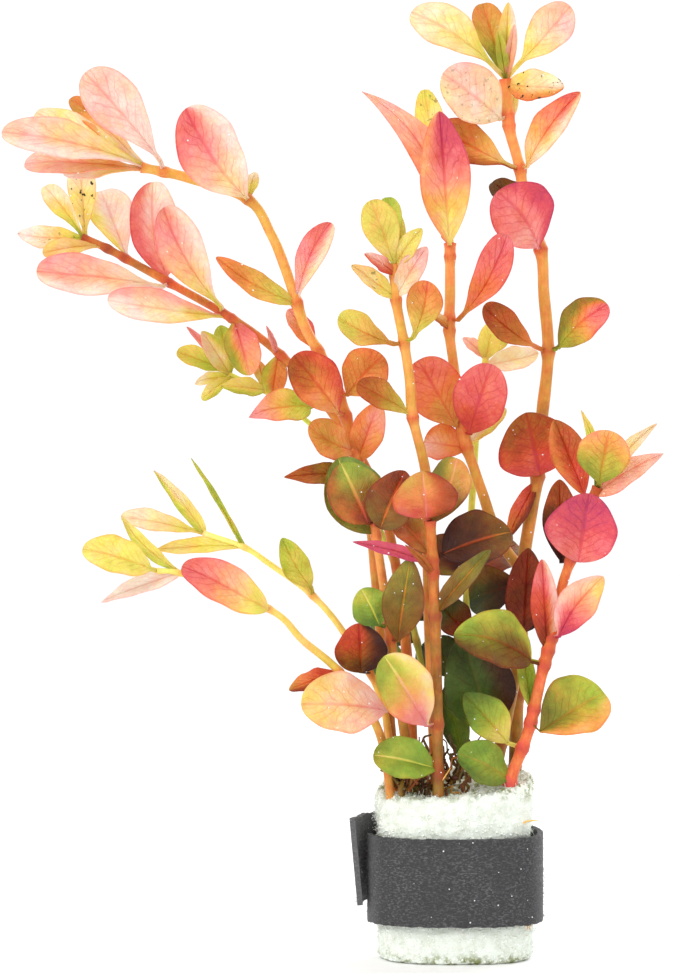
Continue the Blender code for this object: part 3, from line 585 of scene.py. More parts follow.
def grown(name, mesh, tree, **values):
    """What a tree of geometry nodes makes from a mesh, as a plain object."""
    thing = new_object(name, mesh)
    step = thing.modifiers.new("grow", "NODES")
    step.node_group = tree
    sockets = {item.name.lower(): item.identifier for item in tree.interface.items_tree if item.in_out == "INPUT"}
    for socket, value in values.items():
        step[sockets[socket]] = value
    return plain_mesh(thing)


sweep, given, result = new_tree(
    "tube along a path", {"Sides": ("NodeSocketInt", STEM_SIDES), "Material": ("NodeSocketMaterial", None)}
)
line = add_node(sweep, "GeometryNodeMeshToCurve", {"Mesh": given.outputs["Geometry"]})
radius = add_node(sweep, "GeometryNodeInputNamedAttribute", {"Name": "radius"}, data_type="FLOAT")
circle = add_node(sweep, "GeometryNodeCurvePrimitiveCircle", {"Resolution": given.outputs["Sides"], "Radius": 1.0})
tube = add_node(
    sweep, "GeometryNodeCurveToMesh",
    {"Curve": line.outputs[0], "Profile Curve": circle.outputs[0], "Scale": radius.outputs[0], "Fill Caps": True},
)
finish_tree(sweep, tube.outputs[0], given, result)

stem_finish = bpy.data.materials.new("stem")
stem_finish.use_nodes = True
stem_tree = stem_finish.node_tree
stem_surface = stem_tree.nodes["Principled BSDF"]
stem_place = add_node(stem_tree, "ShaderNodeTexCoord").outputs["Object"]
stretched = add_node(stem_tree, "ShaderNodeMapping", {"Vector": stem_place, "Scale": (1.0, 1.0, 0.16)})
grain = add_node(stem_tree, "ShaderNodeTexNoise", {"Vector": stretched.outputs[0], "Scale": 3000.0, "Detail": 3.0})
stem_red = math_node(stem_tree, "MULTIPLY_ADD", grain.outputs["Fac"], 0.2, point_value(stem_tree, "red"))
stem_red = math_node(stem_tree, "MULTIPLY_ADD", point_value(stem_tree, "knot"), 0.18, stem_red)
stem_colour = add_node(stem_tree, "ShaderNodeGroup", {}, node_tree=pigments)
stem_tree.links.new(point_value(stem_tree, "green"), stem_colour.inputs["Green"])
stem_tree.links.new(math_node(stem_tree, "SUBTRACT", stem_red, 0.1), stem_colour.inputs["Red"])
stem_tree.links.new(stem_colour.outputs[0], stem_surface.inputs["Base Color"])
stem_surface.inputs["Roughness"].default_value = 0.45
stem_surface.inputs["Specular IOR Level"].default_value = 0.3
stem_bump = add_node(stem_tree, "ShaderNodeBump", {"Height": grain.outputs["Fac"], "Strength": 0.4, "Distance": 0.08 * MM})
stem_tree.links.new(stem_bump.outputs["Normal"], stem_surface.inputs["Normal"])


def stem(name, path, thick, shades, leaves):
    """A shoot's stem. Thick and shades each give the value at its foot and at its tip."""
    points = smooth_path([seen(*place) for place in path], STEM_STEP * MM)
    knots = [beside_stem(spec, path)[0] for spec in leaves]
    last = len(points) - 1
    mesh = bpy.data.meshes.new(name)
    mesh.from_pydata(points, [(index, index + 1) for index in range(last)], [])
    for key in ("radius", "green", "red", "knot"):
        mesh.attributes.new(key, "FLOAT", "POINT")
    for index, point in enumerate(points):
        share = index / last
        apart = min((point - knot).length for knot in knots) / MM
        knot = math.exp(-((apart / KNOT_REACH) ** 2))
        radius = (thick[0] + (thick[1] - thick[0]) * share) / 2
        radius *= 1 + KNOT_SWELL * knot + 0.1 * noise.noise(point * 150)
        green, red = blend(*shades, share)
        for key, number in {"radius": radius * MM, "green": green, "red": red, "knot": knot}.items():
            mesh.attributes[key].data[index].value = number
    return grown(name, mesh, sweep, material=stem_finish)


# %% [markdown]
# ## One shoot
#
# A shoot is dressed in two steps. The stem and its small leaves become one piece, which stands for
# the stem's solid. Each large leaf becomes a piece of its own, which stands for that leaf's solid.

# %% One shoot
LARGE_GRID = (26, 14)
SMALL_GRID = (18, 8)
dressed = []


def join(first, second):
    """Join the second object into the first, with what their points carry."""
    with bpy.context.temp_override(active_object=first, selected_editable_objects=[first, second]):
        bpy.ops.object.join()
    return first


def shoot(name, path, thick, shades, leaves, finish):
    """Make a shoot's pieces, put them in the place of its solids, and tell how many triangles they have."""
    small = [spec for spec in leaves if not spec["node"]]
    body = stem(f"{name}_shoot", path, thick, shades, leaves)
    body = join(body, leaf_sheet(f"{name}_small_leaves", small, path, *SMALL_GRID, finish))
    pieces = {f"{name}_stem": body}
    for spec in leaves:
        if spec["node"]:
            piece = leaf_sheet(f"{spec['node']}_blade", [spec], path, *LARGE_GRID, finish)
            pieces[spec["node"]] = piece
    for node, piece in pieces.items():
        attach(piece, "root")
        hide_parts(node)
    dressed.extend(pieces.values())
    triangles = sum(len(face.vertices) - 2 for piece in pieces.values() for face in piece.data.polygons)
    print(name, "shoot:", len(leaves), "leaves,", len(pieces), "pieces,", triangles, "triangles")

# %% [markdown]
# ### The arching shoot
#
# The tallest shoot of the left side bends over to the left and ends in a tuft. Its two large pink leaves
# are the brightest of the bunch.

# %% The arching shoot
ARCHING_PATH = (
    (-9.5, 1.4, STEM_FOOT), (-9.8, 1.4, 28), (-11, 1, 42), (-12.2, 0.6, 56), (-13.6, 0.2, 70),
    (-17, -0.4, 85), (-20, -0.8, 94), (-23.9, -1.2, 101), (-25.5, -1.4, 105.5), (-27.5, -1.7, 111.5),
    (-29.6, -2, 116.5), (-33.3, -2.4, 122.1), (-43, -3, 125.6), (-50.5, -3.5, 127.3),
)
ARCHING_LEAVES = (
    leaf((-47.4, -1.7, 128.2), (-59.6, -6.5, 142.5), 8.6, PADDLE, PALE, BLUSH, "arching_leaf_crown",
         wave=0.3, bow=1.4),
    leaf((-33.6, -2.2, 122.4), (-43.4, -6.8, 136.7), 10.4, BROAD, CREAM, ROSE, "arching_leaf_broad",
         right=PALE, wave=0.3, bow=1.6, sway=-1.3),
    leaf((-18.8, -3, 87.8), (-26, -6, 97), 8.2, BROAD, APRICOT, RUST, "arching_leaf_brown", right=RED),
    leaf((-17.4, -1.9, 90.6), (-11.6, -3.6, 97), 8, BROAD, TAN, AMBER, "arching_leaf_amber"),
    leaf((-50, 0, 127.4), (-73, -3.4, 132.9), 6, PADDLE, YELLOW, BLUSH, left=PALE, bow=1.6, sway=0.4),
    leaf((-50.3, 0, 127.1), (-69.6, 3.4, 128.4), 4.4, PADDLE, APRICOT, BLUSH, bend=1.5),
    leaf((-50, 0, 127.4), (-67.5, 8.5, 136), 4.8, PADDLE, YELLOW, CREAM),
    leaf((-50.2, 0, 127), (-63, 7.4, 126.6), 3.6, PADDLE, BUTTER, PALE, right=PALE),
    leaf((-50, 0, 127.4), (-61.8, 8.5, 138.4), 4, PADDLE, CREAM, TAN),
    leaf((-33.3, 0, 122.2), (-32.2, 4.2, 126.4), 2.2, OVAL, YELLOW, CREAM),
    leaf((-25.5, 0, 105.2), (-38.5, -3.4, 112.8), 4, OVAL, PALE_LIME, AMBER, bow=1.2, sway=-1.1),
    leaf((-25.5, 0, 105.3), (-20.3, -3.4, 118.2), 4.8, PADDLE, BLUSH, ROSE, right=CREAM, bend=1.5,
         sway=-0.8),
    leaf((-22.6, 0, 98), (-26.8, 5.9, 104.4), 3.6, OVAL, TAN, PEACH, right=ROSE),
    leaf((-15.6, -0.1, 80.2), (-12.2, -3.9, 89.2), 5.4, OBLONG, AMBER, PEACH, left=AMBER),
    leaf((-16, -0.1, 81.5), (-23.6, -4, 85.6), 6, BROAD, APRICOT, TAN, sway=-0.8),
    leaf((-15, 0, 77.5), (-27.5, -3.8, 77.4), 3.8, LANCE, OLIVE, RUST),
)
shoot("arching", ARCHING_PATH, (2.1, 1.5), (RUST, TAN), ARCHING_LEAVES, young_leaf)

# %% [markdown]
# ### The pink shoot
#
# Behind it runs a shoot with long pale leaves, peach, pink and cream, and a few specks of algae.

# %% The pink shoot
PINK_PATH = (
    (-6.5, 4.5, STEM_FOOT), (-6.6, 4.9, 28), (-7.5, 6, 45), (-9, 7.4, 60), (-12.5, 9, 75), (-20, 10.8, 88),
    (-28, 12, 97), (-36, 13, 103), (-46, 13.8, 108.7), (-56, 14.2, 114.2), (-60, 14.4, 116),
)
PINK_LEAVES = (
    leaf((-47, -1.5, 108), (-67.4, -6.6, 110.5), 6.8, PADDLE, CREAM, PINK, "pink_leaf_low_left",
         left=PALE, bow=1.2, sway=-0.3),
    leaf((-37.6, -1.9, 104.8), (-47, -7.4, 120.8), 7.8, PADDLE, YELLOW, PINK, "pink_leaf_broad",
         right=PALE, bow=1.4, sway=-1.4),
    leaf((-46.5, 1.9, 109.8), (-48.6, 3.1, 124.9), 9, OBLONG, PINK, PALE, "pink_leaf_folded",
         left=ROSE, cup=24, sway=-1),
    leaf((-23.4, -1.6, 88.6), (-33.2, -4.8, 87), 5.4, WEDGE, LIME, PINK, "pink_leaf_low", sway=0.6),
    leaf((-59.5, 0, 115.6), (-60.4, 0, 128.4), 4.8, PADDLE, YELLOW, CREAM, specks=1.0),
    leaf((-59.8, 0, 116), (-66, 5.1, 124.2), 4, PADDLE, LIME, CREAM, right=CREAM),
    leaf((-59.8, 0, 115.9), (-70.4, 3.4, 116.6), 3.8, OVAL, PALE_LIME, PALE, specks=0.5, sway=-0.8),
    leaf((-52.6, 0, 112.2), (-57, 6.4, 123.4), 7.6, PADDLE, PALE, PALE, left=YELLOW),
    leaf((-37, 0, 103.3), (-56, -9.3, 105.9), 5.8, PADDLE, YELLOW, PALE, right=PINK, bow=1.2, sway=-0.8),
    leaf((-35.6, 0, 102.6), (-33, -4.2, 93.8), 6, BROAD, ROSE, APRICOT, right=PALE_GREEN),
    leaf((-28.4, 0, 97.2), (-29.4, 2.5, 90.6), 4.4, OVAL, TAN, AMBER, right=LIME),
    leaf((-28.8, 0, 97.4), (-30.4, -4.2, 101.8), 1, OVAL, PINK, PINK),
    leaf((-7.6, 0, 46), (-14.5, 6.8, 49), 6, OVAL, GREEN, GREEN),
    leaf((-57, 0, 114.6), (-66.4, -2.5, 113.4), 3.4, PADDLE, BUTTER, BUTTER),
)
shoot("pink", PINK_PATH, (1.9, 1.3), (RUST, RUST), PINK_LEAVES, young_leaf)

# %% [markdown]
# ### The green shoot
#
# A thin, pale shoot at the back, with small lime leaves.

# %% The green shoot
GREEN_PATH = (
    (-2.5, 6.4, STEM_FOOT), (-2.6, 7, 28), (-5, 10, 45), (-8, 12.4, 58), (-12.5, 14.8, 70), (-17.5, 16.8, 80),
    (-24.5, 18.2, 87), (-30.5, 19, 91.2), (-36.5, 19.6, 94),
)
GREEN_LEAVES = (
    leaf((-36.3, 0, 94), (-44.8, -1.7, 97.6), 3.6, PADDLE, LIME, YELLOW),
    leaf((-36.3, 0, 94), (-40.8, -3.4, 100.9), 3.8, OVAL, YELLOW, CREAM, right=LIME),
    leaf((-36.2, 0, 93.9), (-37.8, 4.2, 101.8), 4.4, OVAL, LIME, LIME),
    leaf((-36.3, 0, 93.9), (-43.2, 4.2, 101.6), 1.3, OVAL, BLUSH, PINK),
    leaf((-35.8, 0, 93.7), (-40.7, -3.4, 89.8), 2.2, PADDLE, YELLOW, YELLOW, left=LIME),
    leaf((-36, 0, 93.8), (-41.8, 4.2, 92.4), 2, OVAL, YELLOW, CREAM),
    leaf((-30.5, 0, 91.2), (-37.6, -3.1, 92), 3, OVAL, YELLOW, YELLOW, left=LIME),
    leaf((-30.5, 0, 91.2), (-31.8, 4.6, 96), 2.4, OVAL, PALE_LIME, TAN),
    leaf((-6.2, -0.1, 51), (-14, 6.6, 52.5), 6, OVAL, DARK_GREEN, GREEN),
    leaf((-7, 0, 54.2), (-3, 6.1, 57.5), 5, OVAL, DARK_GREEN, GREEN, left=DARK_GREEN),
    leaf((-12.6, 0, 70.3), (-18.4, 5.1, 74), 5, OVAL, BROWN, DARK_GREEN),
    leaf((-12.4, 0, 70.3), (-6.5, 5.1, 75), 5, OVAL, DARK_GREEN, OLIVE),
)
shoot("green", GREEN_PATH, (1.2, 0.8), (OLIVE, LIME), GREEN_LEAVES, young_leaf)

# %% [markdown]
# ### The slim shoot
#
# A straight shoot in the middle, with lime leaves round its tip.

# %% The slim shoot
SLIM_PATH = (
    (-2.5, -1.3, STEM_FOOT), (-3, -1.6, 28), (-4, -3, 50), (-4.5, -5, 70), (-4.7, -6.4, 78), (-6.8, -7.4, 87),
    (-7.3, -8, 93), (-8.2, -8.6, 99), (-9.5, -9.4, 106), (-9.8, -10, 111.8),
)
SLIM_LEAVES = (
    leaf((-6.8, -1.6, 99.8), (-4.4, -4.6, 109), 6, PADDLE, PALE_LIME, AMBER, "slim_leaf_orange", sway=0.6),
    leaf((-9.7, -1.2, 98.8), (-18.8, -2.6, 103.2), 5, PADDLE, TAN, PALE_LIME, "slim_leaf_amber", sway=-0.9),
    leaf((-9.7, 0, 111), (-13.6, -3.4, 122), 6.2, PADDLE, YELLOW, PALE_LIME),
    leaf((-9.8, 0, 111.3), (-10.8, 5.1, 122.4), 4, PADDLE, LIME, LIME),
    leaf((-9.8, 0, 111.3), (-5.3, -1.7, 117.4), 3.4, OVAL, YELLOW, YELLOW),
    leaf((-9.5, 0, 106.3), (-4.5, -2.6, 114.5), 4.2, OVAL, CREAM, BLUSH),
    leaf((-9.5, 0, 106), (-16.7, -1.7, 111.5), 3, OVAL, YELLOW, BUTTER, specks=0.5),
    leaf((-9.7, 0, 110), (-14.6, -3.4, 113.4), 2.2, OVAL, CORAL, BLUSH, left=RED),
    leaf((-9.7, 0, 111), (-9, 5.9, 119.8), 2.8, OVAL, LIME, YELLOW),
    leaf((-6.8, 0, 87.2), (-15.8, -2.6, 92.4), 4.6, PADDLE, PALE_LIME, RUST),
)
shoot("slim", SLIM_PATH, (1.9, 1.5), (RUST, TAN), SLIM_LEAVES, young_leaf)

# %% [markdown]
# ### The centre shoot
#
# It leans to the right, crosses behind the slim one, and ends in two long leaves that fold round a
# yellow bud. Its lowest leaves are the darkest green of all.

# %% The centre shoot
CENTRE_PATH = (
    (6, 1, STEM_FOOT), (6.3, 1, 28), (8, 1, 37), (10, 0.8, 47), (11, 0.4, 55), (10.8, 0, 61.5), (8, 0, 66),
    (6, 0, 70), (4.7, 0, 74), (3, 0, 79), (1.3, 0.2, 84.5), (-0.3, 0.8, 96), (-0.9, 1.2, 101),
    (-0.8, 1.8, 107), (-0.8, 2.8, 115),
)
CENTRE_LEAVES = (
    leaf((-1.9, 1.1, 116.2), (-15, 0.9, 139.5), 5.4, LANCE, AMBER, BLUSH, "centre_leaf_long", sway=4),
    leaf((-0.9, -1.6, 114.8), (-2.5, -4, 136.3), 8.4, OVAL, YELLOW, MAGENTA, "centre_leaf_pink",
         left=APRICOT, wave=0.3, bow=1.2),
    leaf((0.4, -1.4, 102.6), (8.4, -4.1, 116.4), 5.8, PADDLE, AMBER, ROSE, "centre_leaf_right", bow=1,
         sway=1.2),
    leaf((0.1, -1.4, 85.6), (-6, -2.2, 96.2), 9.2, BROAD, TAN, CORAL, "centre_leaf_low_left", cup=5),
    leaf((2.4, -1.7, 84.4), (5.9, -6.5, 95.6), 8.8, BROAD, RED, ROSE, "centre_leaf_low_right", cup=5,
         bow=1.4),
    leaf((11, -2, 52), (11.8, -4, 66), 6.8, OVAL, MAROON, MAROON, "centre_leaf_dark"),
    leaf((6, -1.8, 36), (1.2, -4.7, 52), 11.5, OVAL, GREEN, DARK_GREEN, "centre_leaf_green", right=DARK),
    leaf((-0.3, 0.5, 113.6), (-4.9, 14.1, 139.8), 5.6, PADDLE, YELLOW, YELLOW, specks=0.5, bow=-1.6),
    leaf((-0.9, 0, 101.2), (-4, -1.7, 104), 1.6, OVAL, AMBER, CREAM, left=RUST),
    leaf((1.9, 0, 81.8), (-5, 2.5, 83), 6.2, BROAD, AMBER, BLUSH, right=AMBER),
    leaf((1.9, 0, 82.4), (8.2, 4.2, 88.4), 3.2, OVAL, CREAM, CREAM, right=PALE_LIME),
    leaf((10.6, 0, 60), (2.4, 4, 57.6), 8, BROAD, DARK, DARK_GREEN, right=BROWN),
)
shoot("centre", CENTRE_PATH, (2.1, 1.6), (BROWN, AMBER), CENTRE_LEAVES, young_leaf)

# %% [markdown]
# ### The back shoot
#
# A pale shoot behind the others, with dark old leaves low down.

# %% The back shoot
BACK_PATH = (
    (1, 6.4, STEM_FOOT), (1.2, 7, 28), (1.5, 10, 45), (2, 13.4, 60), (3.5, 19, 85), (5, 21.6, 97),
)
BACK_LEAVES = (
    leaf((4.9, 0, 96.3), (6.5, -3.4, 103), 4, OVAL, YELLOW, YELLOW),
    leaf((4.9, 0, 96.4), (1.3, 2.5, 99.8), 2, OVAL, BLUSH, BLUSH),
    leaf((4.9, 0.2, 95.4), (13.4, 3.6, 97.4), 4, OVAL, CREAM, CREAM, sway=0.6),
    leaf((4.9, 0, 96.4), (9, 6, 101), 3, OVAL, PALE_LIME, LIME),
    leaf((2.1, 0, 62), (-6, 6.1, 66.5), 7, ROUND, DARK, BROWN, left=OLIVE),
    leaf((2.1, 0, 62), (10, 7, 66.5), 7, ROUND, MAROON, BROWN),
    leaf((1.5, -0.1, 46), (-5.6, 6.3, 50), 7, ROUND, DARK_GREEN, DARK_GREEN),
    leaf((1.5, -0.1, 46), (8.6, 6.3, 50.5), 7, ROUND, DARK_GREEN, DARK_GREEN),
    leaf((1.2, 0, 32), (-1.4, 1.2, 44), 5, OVAL, FRESH, GREEN, left=DARK_GREEN),
    leaf((1.8, 0, 52), (-3.4, 1.2, 57.6), 6, ROUND, MAROON, DARK_GREEN),
)
shoot("back", BACK_PATH, (1.6, 1.0), (OLIVE, PALE_LIME), BACK_LEAVES, young_leaf)

# %% [markdown]
# ### The tall shoot
#
# The tallest shoot ends in a crown of five leaves round a green bud.

# %% The tall shoot
TALL_PATH = (
    (9.5, 3.5, STEM_FOOT), (9.6, 3.7, 28), (9.9, 4.1, 37), (10.2, 4.8, 50), (10.5, 5.3, 60), (12.3, 6, 72),
    (13.3, 6.3, 77.5), (14, 6.8, 87), (15, 7.3, 97.5), (14.3, 7.8, 107), (13.8, 8, 114), (11, 8.2, 124),
    (10.5, 8.2, 127), (9.7, 8.2, 130), (8.7, 8, 134), (8.2, 7.6, 141.5),
)
TALL_LEAVES = (
    leaf((6.3, -1.8, 143.4), (-7.1, -5.5, 152.2), 7, PADDLE, YELLOW, CREAM, "tall_leaf_top_left",
         bow=1.2, sway=0.6),
    leaf((10.2, -1.6, 143.8), (18.6, -5.7, 153.2), 7.2, PADDLE, YELLOW, BLUSH, "tall_leaf_top_right",
         bow=1.2, sway=0.5),
    leaf((11.6, -1.6, 127.4), (20.2, -6.5, 139.4), 5.6, OVAL, BUTTER, CORAL, "tall_leaf_upper_right",
         right=CREAM, cup=25, sway=-0.6),
    leaf((7.3, -1.7, 135), (-2, -7, 142.4), 9.4, BROAD, CREAM, BLUSH, "tall_leaf_pale", left=CREAM,
         specks=0.3, wave=0.3, bow=1),
    leaf((9.1, -1.8, 127.4), (-2.8, -3.4, 133.6), 6.8, PADDLE, BUTTER, RUST, "tall_leaf_red",
         left=RUST, bow=1.2, sway=-0.7),
    leaf((13.4, -2, 114.4), (6.8, -7.1, 123.4), 11.2, BROAD, PINK, ROSE, "tall_leaf_round",
         right=MAGENTA, wave=0.3, bow=1, sway=0.7),
    leaf((13.4, -1.6, 98.2), (4.6, -5.7, 105), 5, PADDLE, AMBER, RUST, "tall_leaf_maroon", sway=-0.9),
    leaf((16.7, -1.6, 98.3), (24.6, -5.7, 105.2), 6.8, BROAD, PALE_GREEN, ROSE, "tall_leaf_right",
         left=OLIVE, sway=-0.4),
    leaf((13.6, -2.2, 77.9), (11.4, -7, 87.8), 12.6, ROUND, RED, RUST, "tall_leaf_broad"),
    leaf((8.2, 0, 141), (4.4, 6, 153.6), 5.6, PADDLE, PALE_GREEN, TAN),
    leaf((8.2, 0, 141), (8.6, 3.4, 153.8), 3.4, OVAL, LIME, BUTTER, right=PALE),
    leaf((8.2, 0, 141), (6.9, -0.8, 149.5), 2, OVAL, PALE_GREEN, PALE_LIME),
    leaf((8.3, 0, 141), (9.6, -0.8, 150.3), 1.6, OVAL, APRICOT, BLUSH),
    leaf((8.3, 0, 140.8), (17.6, -5.1, 140.2), 5.4, OVAL, BUTTER, CREAM, right=AMBER, specks=1.0, sway=0.7),
    leaf((8.7, 0, 134.2), (9.8, 3.4, 140.3), 2, OVAL, CREAM, YELLOW, specks=0.5),
    leaf((12.2, 0, 119.8), (6, 5.1, 124.8), 4.4, BROAD, BROWN, BROWN),
    leaf((13.2, 0, 77), (8.2, -2.5, 67), 3, LANCE, RED, AMBER, left=MAROON),
    leaf((10.2, 0, 52), (14, 9.4, 58), 5.5, OVAL, DARK, MAROON),
    leaf((10, 0, 42), (3.4, 7.6, 40), 5, OVAL, DARK_GREEN, DARK_GREEN),
)
shoot("tall", TALL_PATH, (2.3, 1.8), (BROWN, AMBER), TALL_LEAVES, young_leaf)

# %% [markdown]
# ### The right shoot
#
# This one stands in front at the right, on a bare red stem, and has the only magenta leaves.

# %% The right shoot
RIGHT_PATH = (
    (8.3, -4.8, STEM_FOOT), (8.6, -4.9, 24), (8.8, -5, 28.3), (11.5, -6.2, 35.5), (12.7, -7, 40),
    (13.8, -8, 45), (15, -9, 49.5), (16.2, -10, 54), (17.3, -11.2, 60), (18.6, -12, 64), (20.5, -13, 70),
    (23, -13.8, 75.8),
)
RIGHT_LEAVES = (
    leaf((23.2, -1.4, 76.4), (24.9, -3.3, 84.9), 8.4, BROAD, PALE_GREEN, APRICOT, "right_leaf_green"),
    leaf((19.9, -2, 63.8), (21.6, -4.5, 74.8), 11.4, ROUND, ROSE, MAGENTA, "right_leaf_magenta"),
    leaf((17.2, 1.9, 63.6), (16.8, 4.6, 77), 5.8, OVAL, DARK, RUST, "right_leaf_brown"),
    leaf((20.8, 1.8, 74.4), (16, 4.7, 86.6), 5.8, OVAL, RED, RUST, "right_leaf_amber", left=AMBER),
    leaf((16.7, -2.1, 51.8), (23.9, -5.1, 61.4), 6.2, OVAL, MAGENTA, BUTTER, "right_leaf_bright",
         left=BLUSH, sway=-0.4),
    leaf((13.7, -2.2, 36.4), (24, 1, 42.6), 10.2, BROAD, OLIVE, LIME, "right_leaf_low", right=APRICOT),
    leaf((8.5, 0.6, 34.6), (1.4, -0.6, 42.5), 6.6, OVAL, YELLOW, GREEN, "right_leaf_light_green"),
    leaf((12.2, -1.4, 47.8), (-0.2, -4.6, 52), 8.6, ROUND, BROWN, PALE_GREEN, "right_leaf_curled",
         left=BROWN, right=LIME, wave=0.4, sway=1.2),
    leaf((22.6, 0, 74.8), (33.6, -1.7, 81.2), 4.2, WEDGE, PEACH, BLUSH),
    leaf((22.8, 0, 75.4), (20.3, 3.4, 88.2), 1.8, LANCE, FRESH, YELLOW, sway=0.8),
    leaf((22.8, 0, 75.4), (32.5, 5.1, 86), 2.4, LANCE, CREAM, CREAM, sway=-0.4),
    leaf((14.8, 0.1, 49.4), (14, -3.8, 64.2), 4.6, OVAL, MAROON, ROSE, right=PALE),
    leaf((12.5, 0, 39.4), (10.6, 3.9, 50.3), 3, OVAL, FRESH, LIME, left=LIME),
    leaf((8.8, 0, 28.8), (0.4, -4.8, 33), 6.8, BROAD, PALE_GREEN, FRESH, left=GREEN),
)
shoot("right", RIGHT_PATH, (2.1, 1.5), (RED, RUST), RIGHT_LEAVES, young_leaf)

# %% [markdown]
# ### The short shoot
#
# A short shoot of old, brownish leaves.

# %% The short shoot
SHORT_PATH = (
    (-6.5, -3, STEM_FOOT), (-7, -3, 28), (-9.5, -4, 45), (-11.3, -5, 58.5), (-12.7, -5.8, 68), (-13, -6, 71),
)
SHORT_LEAVES = (
    leaf((-14.1, -1.9, 70), (-18.4, -1.9, 79.6), 9, ROUND, MAROON, PALE_GREEN, "short_leaf_left",
         left=RUST, cup=0),
    leaf((-12.8, 0, 68.4), (-18.8, 1.2, 80.4), 10.2, ROUND, OLIVE, GREEN, left=OLIVE, sway=-0.5),
    leaf((-12, -1.9, 69.2), (-8, -6.3, 78.4), 8, ROUND, BROWN, MAROON, "short_leaf_right", wave=0.3),
    leaf((-12.2, -1.6, 53.6), (-15.1, -2, 59.4), 6.2, ROUND, GREEN, LIME, "short_leaf_green",
         right=FRESH, bow=0.3, cup=5),
    leaf((-9.2, -1.7, 51), (-7.2, -7, 64.3), 6.8, OVAL, BROWN, OLIVE, "short_leaf_olive", right=BROWN),
)
shoot("short", SHORT_PATH, (1.8, 1.4), (BROWN, AMBER), SHORT_LEAVES, old_leaf)

# %% [markdown]
# ### The front shoot
#
# It stands foremost, and its top leaf is seen from its tip, like a small roof.

# %% The front shoot
FRONT_PATH = (
    (-2.6, -6.2, STEM_FOOT), (-2.7, -6.5, 28), (-3, -9, 45), (-3.2, -10.4, 55), (-3.5, -11.4, 62),
    (-4, -12.4, 70.4),
)
FRONT_LEAVES = (
    leaf((-4.6, -1.6, 70.9), (-5.2, -4, 78.4), 10.3, ROUND, RED, TAN, "front_leaf_top", right=MAROON,
         wave=0.4),
    leaf((-2, 1.6, 65), (9, 5, 68.5), 8.8, ROUND, DARK, BROWN, "front_leaf_dark"),
    leaf((-4.6, -1.8, 37.4), (-11.4, -6.3, 48.6), 9, BROAD, ROSE, PALE_GREEN, "front_leaf_pink_green",
         right=BUTTER, wave=0.3),
    leaf((-4, 0, 69.8), (0.3, 2.5, 80.4), 7, BROAD, BROWN, TAN, left=OLIVE, sway=0.7),
    leaf((-3.2, 0, 55.4), (5.7, -3.4, 65.7), 3.5, OVAL, BROWN, OLIVE),
    leaf((-3.6, 0, 63.5), (-16.5, 0.7, 67), 2, LANCE, MAGENTA, MAGENTA),
    leaf((-3.5, 0, 61.5), (-8, -3.5, 66.5), 1.4, LANCE, RUST, RUST),
    leaf((-2.7, -0.1, 30.4), (-13.2, -2.3, 32.6), 6.8, BROAD, FRESH, PALE_GREEN),
    leaf((-3.6, 0, 64.5), (-9.4, 6.6, 71), 5, BROAD, RUST, RUST, right=TAN),
)
shoot("front", FRONT_PATH, (1.9, 1.6), (BROWN, RUST), FRONT_LEAVES, old_leaf)

# %% [markdown]
# ### The upper runner
#
# Two runners bend out to the left on thin yellow stems. The upper one carries small, narrow leaves.

# %% The upper runner
UPPER_RUNNER_PATH = (
    (-9.6, -1.9, STEM_FOOT), (-9.8, -2, 28), (-12, -1.4, 42), (-17.8, 0, 52.2), (-22.9, 1.4, 58.3),
    (-29.8, 3, 63.4), (-33.9, 3.8, 66.1), (-40.5, 4.6, 68.4),
)
UPPER_RUNNER_LEAVES = (
    leaf((-23.2, -1.5, 59.6), (-27.9, -4, 67.6), 4.8, OVAL, PALE_LIME, LIME, "runner_leaf_olive",
         sway=-0.5),
    leaf((-15.1, -2.7, 46), (-15.5, -4.6, 53.9), 8.6, ROUND, BROWN, RED, "runner_leaf_red_brown",
         right=DARK),
    leaf((-34, 0, 66.2), (-48, 3.4, 65.7), 2.6, OVAL, YELLOW, YELLOW),
    leaf((-34, 0, 66.2), (-42.5, 3.4, 80.5), 0.9, LANCE, LIME, LIME),
    leaf((-40.3, 0, 68.4), (-48.5, 1.7, 78.5), 2.6, WEDGE, YELLOW, CREAM, left=LIME),
    leaf((-40.2, 0, 68.3), (-53.8, -1.7, 71), 3.6, PADDLE, YELLOW, CREAM),
)
shoot("upper_runner", UPPER_RUNNER_PATH, (1.3, 0.9), (RUST, YELLOW), UPPER_RUNNER_LEAVES, young_leaf)

# %% [markdown]
# ### The lower runner
#
# The lower runner comes forward as it leaves the bunch, and has one large leaf, half pink and half
# lime.

# %% The lower runner
LOWER_RUNNER_PATH = (
    (-9.9, -5, STEM_FOOT), (-10.6, -5, 28), (-12.7, -7, 37.5), (-18.6, -10, 46), (-24.6, -12.4, 51.2),
    (-28.4, -13.6, 55.2), (-36, -15.4, 59.2), (-44.5, -17, 62), (-48, -17.4, 62.3),
)
LOWER_RUNNER_LEAVES = (
    leaf((-30.2, -1.4, 56), (-44, -4.8, 63), 6.6, OBLONG, YELLOW, ROSE, "runner_leaf_pink"),
    leaf((-49, -1, 62.6), (-60, -3.4, 65.8), 5.8, OBLONG, YELLOW, YELLOW, "runner_leaf_green"),
    leaf((-11, -2.3, 39.8), (-24.8, -6.3, 40.8), 9.8, BROAD, BLUSH, BUTTER, "runner_leaf_pink_green",
         wave=0.3),
    leaf((-44.3, 0.1, 62), (-57, 3.3, 57.2), 3, WEDGE, PALE, PALE),
    leaf((-44.3, 0.1, 62), (-53.7, 3.4, 71.2), 2.2, LANCE, YELLOW, YELLOW, left=LIME, sway=-1.2),
    leaf((-18.8, 0, 45.9), (-26.7, 0.8, 43.1), 3, OVAL, RED, TAN, left=MAROON),
)
shoot("lower_runner", LOWER_RUNNER_PATH, (1.7, 0.8), (RUST, YELLOW), LOWER_RUNNER_LEAVES, young_leaf)

